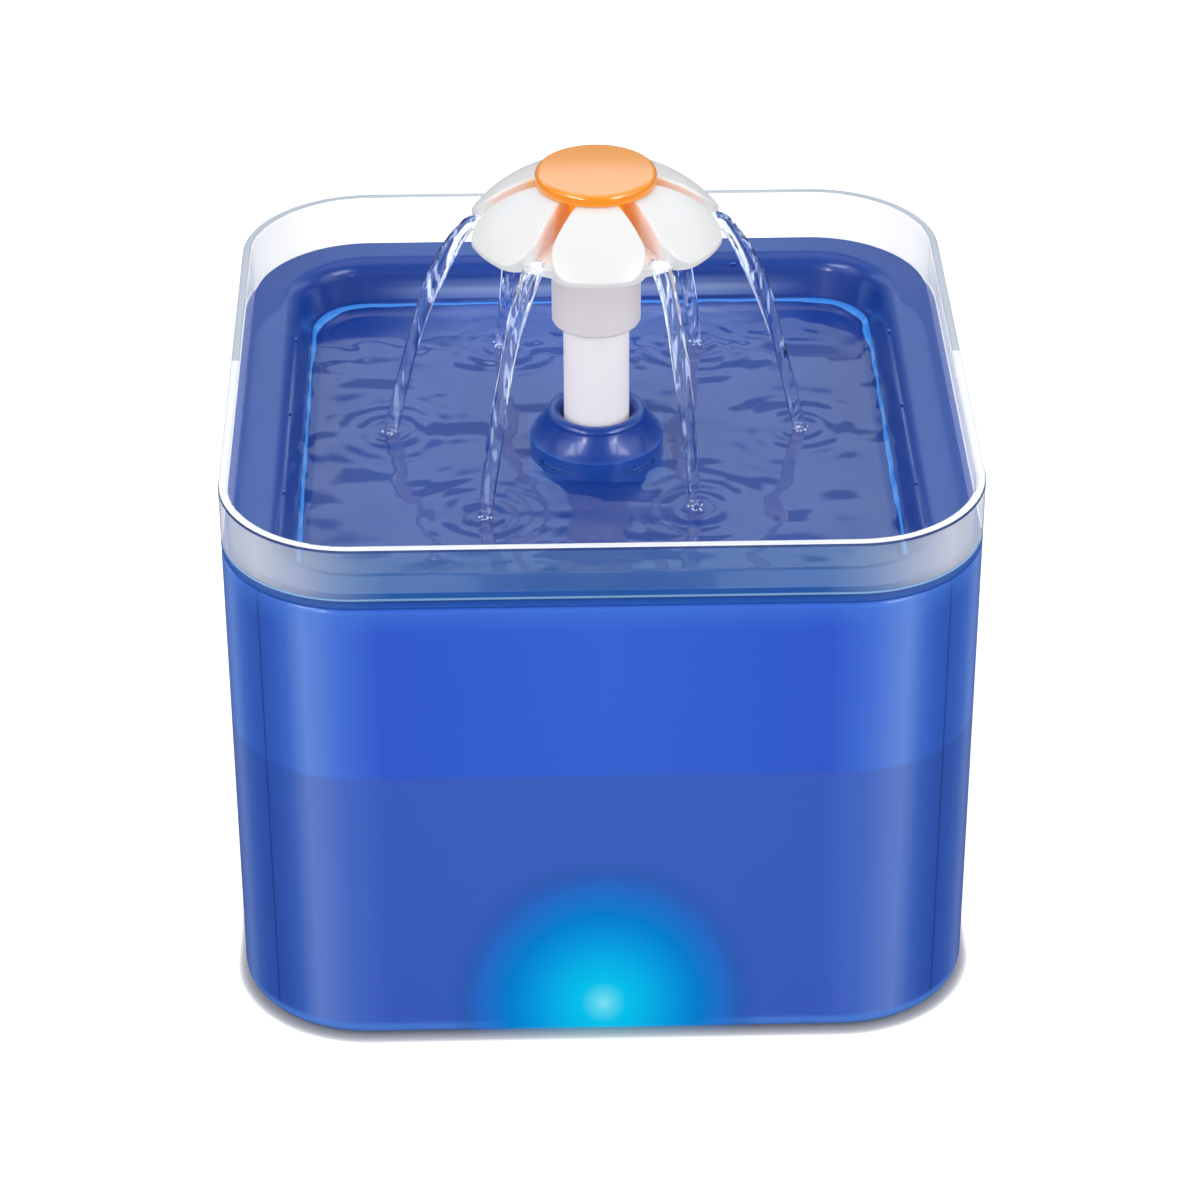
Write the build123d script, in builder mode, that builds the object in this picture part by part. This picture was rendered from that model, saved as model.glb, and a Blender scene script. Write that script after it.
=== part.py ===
from build123d import *
import math
import os

# Square table-top pet water fountain. A translucent tank holds the water and a submersible
# pump; a clear splash ring stands on the tank's rim and carries the drinking tray; a filter
# basket locks under the tray; a white stem and a six-petal flower send the water back down.
# Millimetres. Origin at the centre of the base, +Z up, +X to the right, -Y to the front.

# ---------------------------------------------------------------- driving dimensions
# body
body_width = 180.0
corner_radius = 32.0
tank_height = 124.9
tank_wall = 2.4
base_edge_radius = 3.4
rim_wall = 3.4
rim_depth = 8.0
rim_edge_radius = 1.7

# feet
pad_radius = 6.5
pad_proud = 0.4
pad_socket_depth = 0.9
pad_inset = 27.0
underside_recess_width = 112.0
underside_recess_corner = 16.0
underside_recess_depth = 0.5

# cable notch in the rear rim, and its rubber grommet
notch_width = 8.0
notch_depth = 9.0
notch_corner = 1.6
cable_radius = 1.7
cable_drop = 5.0
grommet_flange = 1.6
grommet_flange_lip = 1.0
ring_gap_width = 11.2

# clear splash ring
ring_height = 16.0
ring_wall = 2.3
ledge_thickness = 1.1
skirt_wall = 1.6
skirt_depth = 6.0
ring_edge_radius = 0.7

# drinking tray
tray_wall = 1.6
basin_inset = 13.6
basin_depth = 14.6
basin_draft = 18.0
basin_lip_radius = 5.0
basin_foot_radius = 3.0
tray_lip_depth = 4.5
tray_lip_wall = 1.4
collar_height = 13.6
collar_top_radius = 10.9
collar_bead_radius = 1.7
collar_foot_radius = 16.7
collar_shoulder_height = 6.3
collar_boss_depth = 8.0
collar_hollow = 0.5
drain_count = 4
drain_width = 8.0
drain_height = 3.0
drain_sill = 0.6
gusset_count = 3
gusset_spacing = 38.0
rib_count = 4
rib_thickness = 1.4
rib_height = 4.0

# bayonet between tray and filter basket
bayonet_count = 3
bayonet_lug_angle = 32.0
bayonet_lug_height = 1.8
bayonet_lug_reach = 1.7
bayonet_wall = 1.8
bayonet_skirt_depth = 8.0
bayonet_play = 0.3

# filter basket
basket_radius = 38.6
basket_wall = 1.5
basket_depth = 20.0
basket_slot_count = 20
basket_slot_width = 2.4
basket_floor_slot = 14.0
basket_wall_slot = 8.0
basket_tube_radius = 13.2
finger_bar_length = 22.0
finger_bar_height = 4.0
finger_bar_thickness = 2.0
layer_side_play = 0.5
sponge_thickness = 4.0
felt_thickness = 2.0
carbon_thickness = 5.0
resin_thickness = 4.0
felt_edge_radius = 0.6

# stem tube
stem_radius = 8.1
stem_bore_radius = 6.4
stem_flange_radius = 8.9
stem_flange_height = 2.2
stem_mouth_chamfer = 0.6
stem_top = 166.0

# flower nozzle
flower_radius = 31.3
petal_count = 6
petal_corner_radius = 5.8
petal_shell = 1.5
petal_edge_radius = 0.7
petal_rise = 10.3
petal_tip_thickness = 1.1
petal_mid_radius = 24.0
petal_arch = 7.1
petal_root_radius = 14.2
channel_width = 4.0
channel_radius = 29.0
channel_floor = 2.1
channel_fall = 2.2
underside_rise = 2.7
sleeve_radius = 10.9
sleeve_overlap = 14.7
sleeve_edge_radius = 0.8

# flower cap
cap_radius = 14.7
cap_rise = 11.4
cap_thickness = 2.9
cap_edge_radius = 1.3
cap_dome = 0.35
cap_skirt_radius = 9.8
cap_skirt_wall = 1.5
cap_window_width = 4.4
cap_window_height = 2.4
cap_leg_count = 3
cap_leg_width = 5.0
cap_leg_wall = 1.2
cap_leg_length = 9.0

# pump
pump_width = 44.0
pump_front = -24.0
pump_face = -9.0
pump_rear = 30.0
pump_base = 8.0
pump_top = 46.0
chin_top = 18.0
pump_corner_radius = 6.0
pump_edge_radius = 2.0
pump_wall = 2.6
pump_base_wall = 4.0
rotor_height = 31.0
volute_radius = 12.2
volute_depth = 13.0
well_radius = 7.4
well_depth = 19.0
well_wall = 1.2
spigot_radius = 6.3
spigot_height = 14.0
spigot_bore_radius = 4.7
seal_thickness = 2.0
seal_radius = 8.7
plate_radius = 14.4
plate_thickness = 1.6
eye_radius = 5.6
spider_width = 1.6
bush_radius = 2.6
bush_length = 3.0

# rotor
shaft_radius = 1.25
impeller_radius = 10.6
impeller_blade_count = 6
impeller_blade_depth = 6.0
impeller_blade_thickness = 1.1
blade_sweep = 2.4
impeller_disc_thickness = 1.4
impeller_hub_radius = 3.4
magnet_radius = 6.7
magnet_length = 15.0
rotor_play = 0.6

# stator
core_depth = 10.0
core_leg = 5.6
core_yoke = 5.0
core_gap = 5.0
coil_length = 13.0
coil_build = 2.2
coil_corner = 1.8

# intake cover, sponge and flow slider
cover_wall = 1.6
cover_edge_radius = 2.4
intake_slot_width = 2.2
intake_slot_pitch = 4.0
intake_slot_count = 4
intake_slot_height = 11.0
side_slot_height = 12.0
clip_length = 9.0
clip_height = 8.0
clip_thickness = 1.4
slider_width = 16.0
slider_height = 13.0
slider_thickness = 1.2
slider_tab = 1.8
slider_tab_width = 3.6
slider_tab_height = 9.8
rail_wall = 1.0
rail_lip = 0.8

# light
window_width = 26.0
window_height = 6.0
window_thickness = 1.8
window_corner = 2.0
window_ledge = 0.8
board_thickness = 1.2
led_count = 3
led_pitch = 7.0
led_radius = 1.5
led_height = 2.8
led_tip_radius = 1.35
lamp_depth = 6.0

# suction cups and pump cable gland
cup_radius = 7.4
cup_neck_radius = 2.5
cup_neck_length = 3.0
cup_lip = 0.9
cup_waist_height = 2.7
cup_hollow_depth = 1.35
cup_spacing_x = 27.0
cup_spacing_y = 34.0
gland_radius = 3.4
gland_length = 9.0
gland_offset_x = 12.0
gland_depth = 3.0
gland_draft = 4.0
potting_recess = 1.0

# clearances
seat_gap = 0.05
running_fit = 0.06
slip_gap = 0.3
ring_slip = 0.3

# ---------------------------------------------------------------- derived places
half_width = body_width / 2
tank_floor_top = pad_proud + tank_wall
ledge_top = tank_height + ledge_thickness
tray_underside = ledge_top + seat_gap
tray_top = tray_underside + tray_wall
tray_inset = ring_wall + ring_slip
skirt_inset = rim_wall + ring_slip
basin_floor = tray_top - basin_depth
basin_underside = basin_floor - tray_wall
basin_shell_inset = basin_inset - tray_wall / math.cos(math.radians(basin_draft))
collar_top = basin_floor + collar_height
collar_bore_radius = collar_top_radius - collar_bead_radius
collar_boss_radius = collar_bore_radius + tray_wall
bayonet_inner_radius = basket_radius + bayonet_lug_reach + bayonet_play
bayonet_skirt_bottom = basin_underside - bayonet_skirt_depth
basket_lug_bottom = bayonet_skirt_bottom + bayonet_lug_height + seat_gap
basket_top = basin_underside - 2 * bayonet_play
basket_bottom = basket_top - basket_depth
basket_tube_bore = basket_tube_radius - basket_wall
cable_height = tank_height - cable_drop
petal_foot_height = stem_top + petal_rise
petal_tip_height = petal_foot_height + petal_tip_thickness
petal_mid_height = petal_tip_height + petal_arch
channel_end_height = petal_foot_height + channel_floor
channel_start_height = channel_end_height + channel_fall
flower_underside_inner = petal_foot_height + underside_rise
sleeve_bottom = stem_top - sleeve_overlap
cap_top = channel_start_height + cap_rise
cap_underside = cap_top - cap_thickness
dome_radius = (cap_radius**2 + cap_dome**2) / (2 * cap_dome)
petal_root_height = cap_underside - slip_gap
petal_inner_radius = cap_skirt_radius + slip_gap
stem_bottom = pump_top + seal_thickness + seat_gap
sleeve_bore_radius = stem_radius + running_fit
chamber_back = pump_face + volute_depth
magnet_front = chamber_back + rotor_play
impeller_back = chamber_back - rotor_play
impeller_front = impeller_back - impeller_disc_thickness - impeller_blade_depth
well_back = chamber_back + well_depth
half_pump = pump_width / 2
pocket_width = pump_width - 2 * pump_wall
pocket_height = pump_top - pump_wall - pump_base - pump_base_wall
pocket_centre = pump_base + pump_base_wall + pocket_height / 2 - rotor_height
outlet_start = rotor_height + volute_radius - pump_wall
potting_rear = pump_rear - potting_recess
core_bore_radius = well_radius + well_wall + slip_gap
yoke_bottom = -core_bore_radius - coil_build - core_yoke
window_centre = (pump_base + chin_top) / 2
board_back = pump_front + window_thickness + lamp_depth
board_width = window_width - 2 * window_ledge
board_height = window_height - 2 * window_ledge
cup_centre_y = (pump_front + pump_rear) / 2
pocket_front = chamber_back + pump_wall
core_front = pocket_front + pump_wall
cover_bottom = chin_top + slip_gap
cover_rear = pump_face - slip_gap
slot_centre_height = (chin_top + pump_top) / 2
slider_back = pump_front - seat_gap
slider_rest_x = slider_width / 2 + seat_gap
slider_travel = slider_width
rail_reach = slider_width + slider_travel
rail_depth = slider_thickness + slip_gap + rail_lip
lip_inset = skirt_inset + skirt_wall + ring_slip
rib_start = bayonet_inner_radius + bayonet_wall / 2
basin_slope = math.tan(math.radians(basin_draft))
rib_end = half_width - basin_inset - basin_depth * basin_slope - basin_foot_radius - tray_wall
gusset_length = basin_inset - lip_inset - tray_lip_wall / 2 + tray_lip_depth * basin_slope - tray_wall / 2
basket_floor_top = basket_bottom + basket_wall


# ---------------------------------------------------------------- shared outlines
def body_outline(inset, mode=Mode.ADD):
    """Rounded square body outline, moved inwards by an inset."""
    width = body_width - 2 * inset
    RectangleRounded(width, width, corner_radius - inset, mode=mode)


def flower_underside(radius):
    """Height of the flower's conical underside at a radius."""
    slope = -underside_rise / (flower_radius - stem_bore_radius)
    return flower_underside_inner + slope * (radius - stem_bore_radius)


def notch_outline(growth):
    """Outline of the cable notch, mirrored over the rim's top and grown outwards."""
    with Locations((0, tank_height)):
        RectangleRounded(
            notch_width + 2 * growth,
            2 * (notch_depth + growth),
            notch_corner + growth,
        )


def radial_plane(angle):
    """Upright plane through the stem's axis, whose X points outwards at an angle."""
    turn = math.radians(angle)
    outwards = (math.cos(turn), math.sin(turn), 0)
    return Plane(origin=(0, 0, 0), x_dir=outwards, z_dir=(math.sin(turn), -math.cos(turn), 0))


def across_pump(y):
    """Upright plane across the pump, facing the front, with its origin on the rotor axis."""
    return Plane(origin=(0, y, rotor_height), x_dir=(1, 0, 0), z_dir=(0, -1, 0))


def bayonet_lugs(inner_radius, outer_radius, bottom):
    """Ring of bayonet lugs, each a short arc."""
    with BuildPart() as lugs:
        for index in range(bayonet_count):
            start = index * 360 / bayonet_count - bayonet_lug_angle / 2
            with BuildSketch(radial_plane(start)):
                with Locations((inner_radius, bottom)):
                    Rectangle(
                        outer_radius - inner_radius,
                        bayonet_lug_height,
                        align=(Align.MIN, Align.MIN),
                    )
            revolve(axis=Axis.Z, revolution_arc=bayonet_lug_angle)
    return lugs.part


# ---------------------------------------------------------------- tank
with BuildPart() as tank:
    with BuildSketch(Plane.XY.offset(pad_proud)):
        body_outline(0)
    extrude(amount=tank_height - pad_proud)
    fillet(tank.faces().sort_by(Axis.Z)[0].edges(), base_edge_radius)
    offset(amount=-tank_wall, openings=tank.faces().sort_by(Axis.Z)[-1])
    # thicker band under the rim, which the splash ring stands on
    with BuildSketch(Plane.XY.offset(tank_height - rim_depth)):
        body_outline(tank_wall / 2)
        body_outline(rim_wall, mode=Mode.SUBTRACT)
    extrude(amount=rim_depth)
    fillet(tank.faces().sort_by(Axis.Z)[-1].outer_wire().edges(), rim_edge_radius)
    # shallow recess and four sockets for the pads
    with BuildSketch(Plane.XY.offset(pad_proud)):
        RectangleRounded(underside_recess_width, underside_recess_width, underside_recess_corner)
    extrude(amount=underside_recess_depth, mode=Mode.SUBTRACT)
    with BuildSketch(Plane.XY.offset(pad_proud)):
        with GridLocations(body_width - 2 * pad_inset, body_width - 2 * pad_inset, 2, 2):
            Circle(pad_radius + running_fit)
    extrude(amount=pad_socket_depth, mode=Mode.SUBTRACT)
    # cable notch through the rear rim
    with BuildSketch(Plane.XZ.offset(-half_width - rim_wall)):
        notch_outline(0)
    extrude(amount=3 * rim_wall, mode=Mode.SUBTRACT)

with BuildPart() as foot_pads:
    with BuildSketch():
        with GridLocations(body_width - 2 * pad_inset, body_width - 2 * pad_inset, 2, 2):
            Circle(pad_radius)
    extrude(amount=pad_proud + pad_socket_depth)

with BuildPart() as cable_grommet:
    # core that fills the notch, as thick as the rim
    with BuildSketch(Plane.XZ.offset(-half_width + rim_edge_radius)):
        notch_outline(-seat_gap)
    extrude(amount=rim_wall - rim_edge_radius + seat_gap)
    # flange behind the rim
    with BuildSketch(Plane.XZ.offset(-half_width + rim_wall + seat_gap)):
        notch_outline(grommet_flange_lip)
    extrude(amount=grommet_flange)
    with BuildSketch(Plane.XZ.offset(-half_width)):
        with Locations((0, cable_height)):
            Circle(cable_radius)
    extrude(amount=rim_wall + 2 * grommet_flange, mode=Mode.SUBTRACT)
    split(bisect_by=Plane.XY.offset(tank_height), keep=Keep.BOTTOM)

# ---------------------------------------------------------------- clear splash ring
with BuildPart() as splash_ring:
    with BuildSketch(Plane.XY.offset(tank_height + seat_gap)):
        body_outline(0)
        body_outline(ring_wall, mode=Mode.SUBTRACT)
    extrude(amount=ring_height - seat_gap)
    with BuildSketch(Plane.XY.offset(tank_height + seat_gap)):
        body_outline(ring_wall / 2)
        body_outline(skirt_inset + skirt_wall, mode=Mode.SUBTRACT)
    extrude(amount=ledge_thickness - seat_gap)
    with BuildSketch(Plane.XY.offset(tank_height - skirt_depth)):
        body_outline(skirt_inset)
        body_outline(skirt_inset + skirt_wall, mode=Mode.SUBTRACT)
    extrude(amount=skirt_depth + ledge_thickness)
    ring_top_edges = splash_ring.faces().sort_by(Axis.Z)[-1].edges()
    fillet(ring_top_edges, ring_edge_radius)
    # way past the grommet's flange and the cable
    with BuildSketch(Plane.XZ.offset(-half_width)):
        with Locations((0, tank_height)):
            Rectangle(ring_gap_width, 2 * skirt_depth, align=(Align.CENTER, Align.MAX))
    extrude(amount=skirt_inset + 2 * skirt_wall, mode=Mode.SUBTRACT)

# ---------------------------------------------------------------- drinking tray
with BuildPart() as tray:
    with BuildSketch(Plane.XY.offset(tray_underside)):
        body_outline(tray_inset)
    extrude(amount=tray_wall)
    # outside of the basin
    with BuildSketch(Plane.XY.offset(tray_top)):
        body_outline(basin_shell_inset)
    extrude(amount=-(basin_depth + tray_wall), taper=basin_draft)
    fillet(tray.faces().sort_by(Axis.Z)[0].edges(), basin_foot_radius + tray_wall)
    # inside of the basin
    with BuildSketch(Plane.XY.offset(tray_top)):
        body_outline(basin_inset)
    extrude(amount=-basin_depth, taper=basin_draft, mode=Mode.SUBTRACT)
    basin_face = tray.faces().filter_by(Plane.XY).filter_by_position(
        Axis.Z, basin_floor - seat_gap, basin_floor + seat_gap
    )
    fillet(basin_face.edges(), basin_foot_radius)
    top_face = tray.faces().sort_by(Axis.Z)[-1]
    fillet(top_face.inner_wires()[0].edges(), basin_lip_radius)
    # collar round the stem: rounded bead, flared flank, and a boss below the floor
    with BuildSketch(Plane.XZ):
        bead_height = collar_top - collar_bead_radius
        bead_outside = collar_top_radius + collar_bead_radius
        shoulder = basin_floor + collar_shoulder_height
        with BuildLine():
            Polyline(
                (collar_bore_radius, bead_height),
                (collar_bore_radius, basin_underside - collar_boss_depth),
                (collar_boss_radius, basin_underside - collar_boss_depth),
                (collar_boss_radius, basin_underside),
                (collar_foot_radius, basin_underside),
                (collar_foot_radius, shoulder),
            )
            SagittaArc(
                (collar_foot_radius, shoulder),
                (bead_outside, bead_height),
                collar_hollow,
            )
            ThreePointArc(
                (bead_outside, bead_height),
                (collar_top_radius, collar_top),
                (collar_bore_radius, bead_height),
            )
        make_face()
    revolve(axis=Axis.Z)
    # hollow under the collar, and the way through it for the stem
    with BuildSketch(Plane.XZ):
        Polygon(
            (collar_boss_radius, basin_underside),
            (collar_boss_radius, bead_height),
            (bead_outside - tray_wall, bead_height),
            (collar_foot_radius - tray_wall, shoulder - tray_wall),
            (collar_foot_radius - tray_wall, basin_underside),
            align=None,
        )
    revolve(axis=Axis.Z, mode=Mode.SUBTRACT)
    with BuildSketch(Plane.XY.offset(basin_underside)):
        Circle(collar_bore_radius)
    extrude(amount=collar_height, mode=Mode.SUBTRACT)
    # windows through the collar's wall, where the tray drains back into the tank
    with Locations((0, 0, basin_floor + drain_sill)):
        with PolarLocations(collar_foot_radius, drain_count, start_angle=180 / drain_count):
            Box(
                4 * tray_wall,
                drain_width,
                drain_height,
                align=(Align.CENTER, Align.CENTER, Align.MIN),
                mode=Mode.SUBTRACT,
            )
    # bayonet skirt that holds the filter basket
    with BuildSketch(Plane.XY.offset(bayonet_skirt_bottom)):
        Circle(bayonet_inner_radius + bayonet_wall)
        Circle(bayonet_inner_radius, mode=Mode.SUBTRACT)
    extrude(amount=bayonet_skirt_depth)
    lug_root = bayonet_inner_radius + bayonet_wall / 2
    add(bayonet_lugs(basket_radius + bayonet_play, lug_root, bayonet_skirt_bottom))
    # ribs from the skirt to the basin's foot
    with Locations((0, 0, basin_underside)):
        with PolarLocations(rib_start, rib_count):
            Box(
                rib_end - rib_start,
                rib_thickness,
                rib_height,
                align=(Align.MIN, Align.CENTER, Align.MAX),
            )
    # locating lip inside the splash ring's skirt, and gussets from it to the basin
    with BuildSketch(Plane.XY.offset(tray_underside - tray_lip_depth)):
        body_outline(lip_inset)
        body_outline(lip_inset + tray_lip_wall, mode=Mode.SUBTRACT)
    extrude(amount=tray_lip_depth)
    with Locations((0, 0, tray_underside)):
        with PolarLocations(half_width - lip_inset - tray_lip_wall / 2, 4):
            with GridLocations(rib_thickness, gusset_spacing, 1, gusset_count):
                Box(
                    gusset_length,
                    rib_thickness,
                    tray_lip_depth,
                    align=(Align.MAX, Align.CENTER, Align.MAX),
                )

# ---------------------------------------------------------------- filter basket
with BuildPart() as filter_basket:
    with BuildSketch(Plane.XY.offset(basket_bottom)):
        Circle(basket_radius)
        Circle(basket_tube_bore, mode=Mode.SUBTRACT)
    extrude(amount=basket_depth)
    with BuildSketch(Plane.XY.offset(basket_floor_top)):
        Circle(basket_radius - basket_wall)
        Circle(basket_tube_radius, mode=Mode.SUBTRACT)
    extrude(amount=basket_depth, mode=Mode.SUBTRACT)
    lug_root = basket_radius - basket_wall / 2
    add(bayonet_lugs(lug_root, basket_radius + bayonet_lug_reach, basket_lug_bottom))
    # slots through the floor and the wall
    with BuildSketch(Plane.XY.offset(basket_bottom)):
        with PolarLocations((basket_radius + basket_tube_radius) / 2, basket_slot_count):
            SlotOverall(basket_floor_slot, basket_slot_width)
    extrude(amount=basket_wall, mode=Mode.SUBTRACT)
    with Locations((0, 0, basket_floor_top + basket_wall)):
        with PolarLocations(basket_radius, basket_slot_count):
            Box(
                4 * basket_wall,
                basket_slot_width,
                basket_wall_slot,
                align=(Align.CENTER, Align.CENTER, Align.MIN),
                mode=Mode.SUBTRACT,
            )
    # bars to twist it by
    with Locations((0, 0, basket_bottom)):
        with PolarLocations(basket_tube_radius, 2):
            Box(
                finger_bar_length,
                finger_bar_thickness,
                finger_bar_height,
                align=(Align.MIN, Align.CENTER, Align.MAX),
            )


def filter_layer(bottom, thickness):
    """One ring-shaped layer of the filter, with its edges rounded."""
    with BuildPart() as layer:
        with BuildSketch(Plane.XY.offset(bottom + seat_gap)):
            Circle(basket_radius - basket_wall - layer_side_play)
            Circle(basket_tube_radius + layer_side_play, mode=Mode.SUBTRACT)
        extrude(amount=thickness - seat_gap)
        fillet(layer.edges().filter_by(GeomType.CIRCLE), felt_edge_radius)
    return layer


lower_felt_bottom = basket_floor_top + sponge_thickness
carbon_bottom = lower_felt_bottom + felt_thickness
resin_bottom = carbon_bottom + carbon_thickness
upper_felt_bottom = resin_bottom + resin_thickness
filter_sponge = filter_layer(basket_floor_top, sponge_thickness)
lower_felt = filter_layer(lower_felt_bottom, felt_thickness)
carbon_bed = filter_layer(carbon_bottom, carbon_thickness)
resin_bed = filter_layer(resin_bottom, resin_thickness)
upper_felt = filter_layer(upper_felt_bottom, felt_thickness)

# ---------------------------------------------------------------- stem tube
with BuildPart() as stem_tube:
    with BuildSketch(Plane.XY.offset(stem_bottom)):
        Circle(stem_radius)
        Circle(stem_bore_radius, mode=Mode.SUBTRACT)
    extrude(amount=stem_top - stem_bottom)
    with BuildSketch(Plane.XY.offset(stem_bottom)):
        Circle(stem_flange_radius)
        Circle(stem_radius - running_fit, mode=Mode.SUBTRACT)
    extrude(amount=stem_flange_height)
    stem_mouth = stem_tube.edges().filter_by(GeomType.CIRCLE).group_by(Axis.Z)[0]
    chamfer(stem_mouth.sort_by(SortBy.RADIUS)[0], stem_mouth_chamfer)

# ---------------------------------------------------------------- flower nozzle
def petal_block(inner_radius, shrink):
    """One petal on +X: a sixth of a disc less half a channel on each side, under the dome."""
    half_sector = math.radians(180 / petal_count)
    start = (channel_width / 2 + shrink) / math.sin(half_sector)
    across = 2 * flower_radius * math.cos(half_sector)
    up = 2 * flower_radius * math.sin(half_sector)
    outer_radius = flower_radius - shrink
    foot = petal_foot_height - shrink
    with BuildPart() as block:
        with BuildSketch(Plane.XY.offset(foot)) as plan:
            Circle(outer_radius)
            Polygon((start, 0), (start + across, up), (start + across, -up), align=None,
                    mode=Mode.INTERSECT)
            fillet(plan.vertices().sort_by(Axis.X)[1:], petal_corner_radius - shrink)
        extrude(amount=cap_top - foot)
        with BuildSketch(Plane.XZ):
            with BuildLine():
                Polyline(
                    (outer_radius, petal_tip_height - shrink),
                    (outer_radius, foot),
                    (inner_radius, foot),
                    (inner_radius, petal_root_height - shrink),
                    (petal_root_radius, petal_root_height - shrink),
                )
                ThreePointArc(
                    (petal_root_radius, petal_root_height - shrink),
                    (petal_mid_radius - shrink / 2, petal_mid_height - shrink),
                    (outer_radius, petal_tip_height - shrink),
                )
            make_face()
        revolve(axis=Axis.Z, mode=Mode.INTERSECT)
    return block


with BuildPart() as petal:
    add(petal_block(petal_inner_radius, 0).part)
    dome_edges = petal.faces().filter_by(GeomType.REVOLUTION)[0].edges()
    fillet(dome_edges.sort_by(Axis.X)[1:], petal_edge_radius)
petal_hollow = petal_block(sleeve_radius + petal_shell, petal_shell)

with BuildPart() as flower:
    # sleeve, and the cone whose uncovered sectors are the channels
    with BuildSketch(Plane.XZ):
        with BuildLine():
            Polyline(
                (sleeve_bore_radius, sleeve_bottom),
                (sleeve_radius, sleeve_bottom),
                (sleeve_radius, flower_underside(sleeve_radius)),
                (channel_radius, flower_underside(channel_radius)),
                (channel_radius, channel_end_height),
                (cap_skirt_radius, channel_start_height),
                (stem_bore_radius, channel_start_height),
                (stem_bore_radius, stem_top + seat_gap),
                (sleeve_bore_radius, stem_top + seat_gap),
                close=True,
            )
        make_face()
    revolve(axis=Axis.Z)
    fillet(flower.edges().filter_by(GeomType.CIRCLE).sort_by(Axis.Z)[:2], sleeve_edge_radius)
    with PolarLocations(0, petal_count, start_angle=180 / petal_count):
        add(petal.part)
    with PolarLocations(0, petal_count, start_angle=180 / petal_count):
        add(petal_hollow.part, mode=Mode.SUBTRACT)

# ---------------------------------------------------------------- flower cap
with BuildPart() as flower_cap:
    with BuildSketch(Plane.XZ) as cap_section:
        with BuildLine():
            Polyline(
                (0, cap_top),
                (0, cap_underside),
                (cap_radius, cap_underside),
                (cap_radius, cap_top - cap_dome),
            )
            dome_angle = math.degrees(math.asin(cap_radius / dome_radius))
            CenterArc((0, cap_top - dome_radius), dome_radius, 90, -dome_angle)
        make_face()
        cap_rim = cap_section.vertices().group_by(Axis.X)[-1].sort_by(Axis.Y)
        fillet(cap_rim[-1], cap_edge_radius)
        fillet(cap_rim[0], cap_edge_radius / 2)
    revolve(axis=Axis.Z)
    with BuildSketch(Plane.XY.offset(channel_start_height + seat_gap)):
        Circle(cap_skirt_radius)
        Circle(cap_skirt_radius - cap_skirt_wall, mode=Mode.SUBTRACT)
    extrude(amount=cap_underside - channel_start_height)
    # windows that feed the channels
    with Locations((0, 0, cap_underside)):
        with PolarLocations(cap_skirt_radius, petal_count):
            Box(
                4 * cap_skirt_wall,
                cap_window_width,
                cap_window_height,
                align=(Align.CENTER, Align.CENTER, Align.MAX),
                mode=Mode.SUBTRACT,
            )
    # legs that plug into the stem's bore
    with BuildSketch(Plane.XY.offset(channel_start_height - cap_leg_length)):
        with PolarLocations(0, cap_leg_count, start_angle=180 / cap_leg_count):
            Rectangle(cap_skirt_radius, cap_leg_width, align=(Align.MIN, Align.CENTER))
        Circle(stem_bore_radius - running_fit, mode=Mode.INTERSECT)
        Circle(stem_bore_radius - running_fit - cap_leg_wall, mode=Mode.SUBTRACT)
    extrude(amount=cap_underside - channel_start_height + cap_leg_length)

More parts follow.
